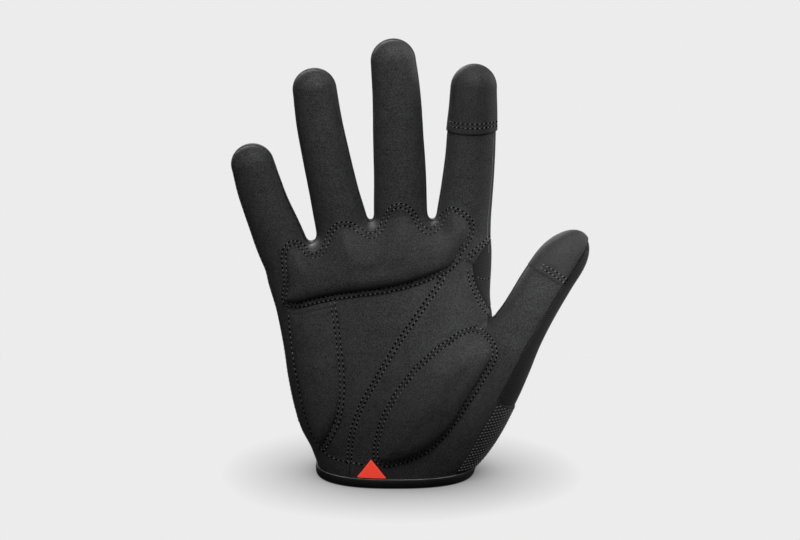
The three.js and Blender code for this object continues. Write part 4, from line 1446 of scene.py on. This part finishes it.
corners = [(x * FLOOR_HALF, y * FLOOR_HALF, 0) for x, y in ((-1, -1), (1, -1), (1, 1), (-1, 1))]
floor = mesh_object("floor", np.array(corners), np.array([[0, 1, 2, 3]]), floor_finish())
floor.location.z = -FLOOR_DROP
floor.visible_diffuse = False
floor.visible_glossy = False

world = bpy.data.worlds.new("studio")
bpy.context.scene.world = world
world.use_nodes = True
sky = world.node_tree
background = sky.nodes["Background"]
background.inputs["Color"].default_value = (1, 1, 1, 1)
path = sky.nodes.new("ShaderNodeLightPath")
level = sky.nodes.new("ShaderNodeMapRange")
level.inputs["To Min"].default_value = AMBIENT
level.inputs["To Max"].default_value = BACKGROUND
sky.links.new(path.outputs["Is Camera Ray"], level.inputs["Value"])
sky.links.new(level.outputs[0], background.inputs["Strength"])


def lamp(name, place, target, size, power, spread=180):
    """A round lamp aimed at a target; size is its width and spread its angle in degrees."""
    light = bpy.data.lights.new(name, "AREA")
    light.shape = "DISK"
    light.size = size
    light.energy = power
    light.spread = math.radians(spread)
    holder = bpy.data.objects.new(name, light)
    holder.location = place
    way = Vector(target) - Vector(place)
    holder.rotation_euler = way.to_track_quat("-Z", "Y").to_euler()
    holder.visible_camera = False
    bpy.context.scene.collection.objects.link(holder)


# Each lamp's place, target, width, watts and spread
lamp("top_light", (0.03, -0.33, 0.43), (0, 0, 0.1), 0.22, 0.85)
lamp("near_light", (0.03, -0.16, 0.36), (0, 0, 0.12), 0.15, 0.38)
lamp("left_light", (-0.9, -0.5, 0.4), (0, 0, 0.1), 0.4, 1.3)
lamp("thumb_light", (0.15, -0.32, 0.24), (0.075, -0.03, 0.095), 0.06, 0.02, 22)
lamp("front_light", (0.0, -1.0, 0.3), (0, 0, 0.1), 0.4, 0.3)
lamp("back_light", (-0.3, 0.9, 0.7), (0, 0, 0.1), 0.6, 16)
lamp("side_back_light", (0.9, 0.35, 0.4), (0, 0, 0.1), 0.4, 5)

# The focal length and the photo's width are in pixels, the sensor in millimetres and the pitch in degrees
CAMERA_PLACE = (0.0, -0.82, 0.29)
CAMERA_PITCH = 12.78
FOCAL_PIXELS = 1806.0
PHOTO_WIDTH = 800.0
SENSOR = 36.0
CAMERA_SHIFT = (0.005, -0.01655)
camera_data = bpy.data.cameras.new("camera")
camera = bpy.data.objects.new("camera", camera_data)
bpy.context.scene.collection.objects.link(camera)
camera.location = CAMERA_PLACE
camera.rotation_euler = (math.radians(90 - CAMERA_PITCH), 0, 0)
camera_data.sensor_width = SENSOR
camera_data.sensor_fit = "HORIZONTAL"
camera_data.lens = SENSOR * FOCAL_PIXELS / PHOTO_WIDTH
camera_data.shift_x, camera_data.shift_y = CAMERA_SHIFT
bpy.context.scene.camera = camera
bpy.context.scene.view_settings.view_transform = "Standard"
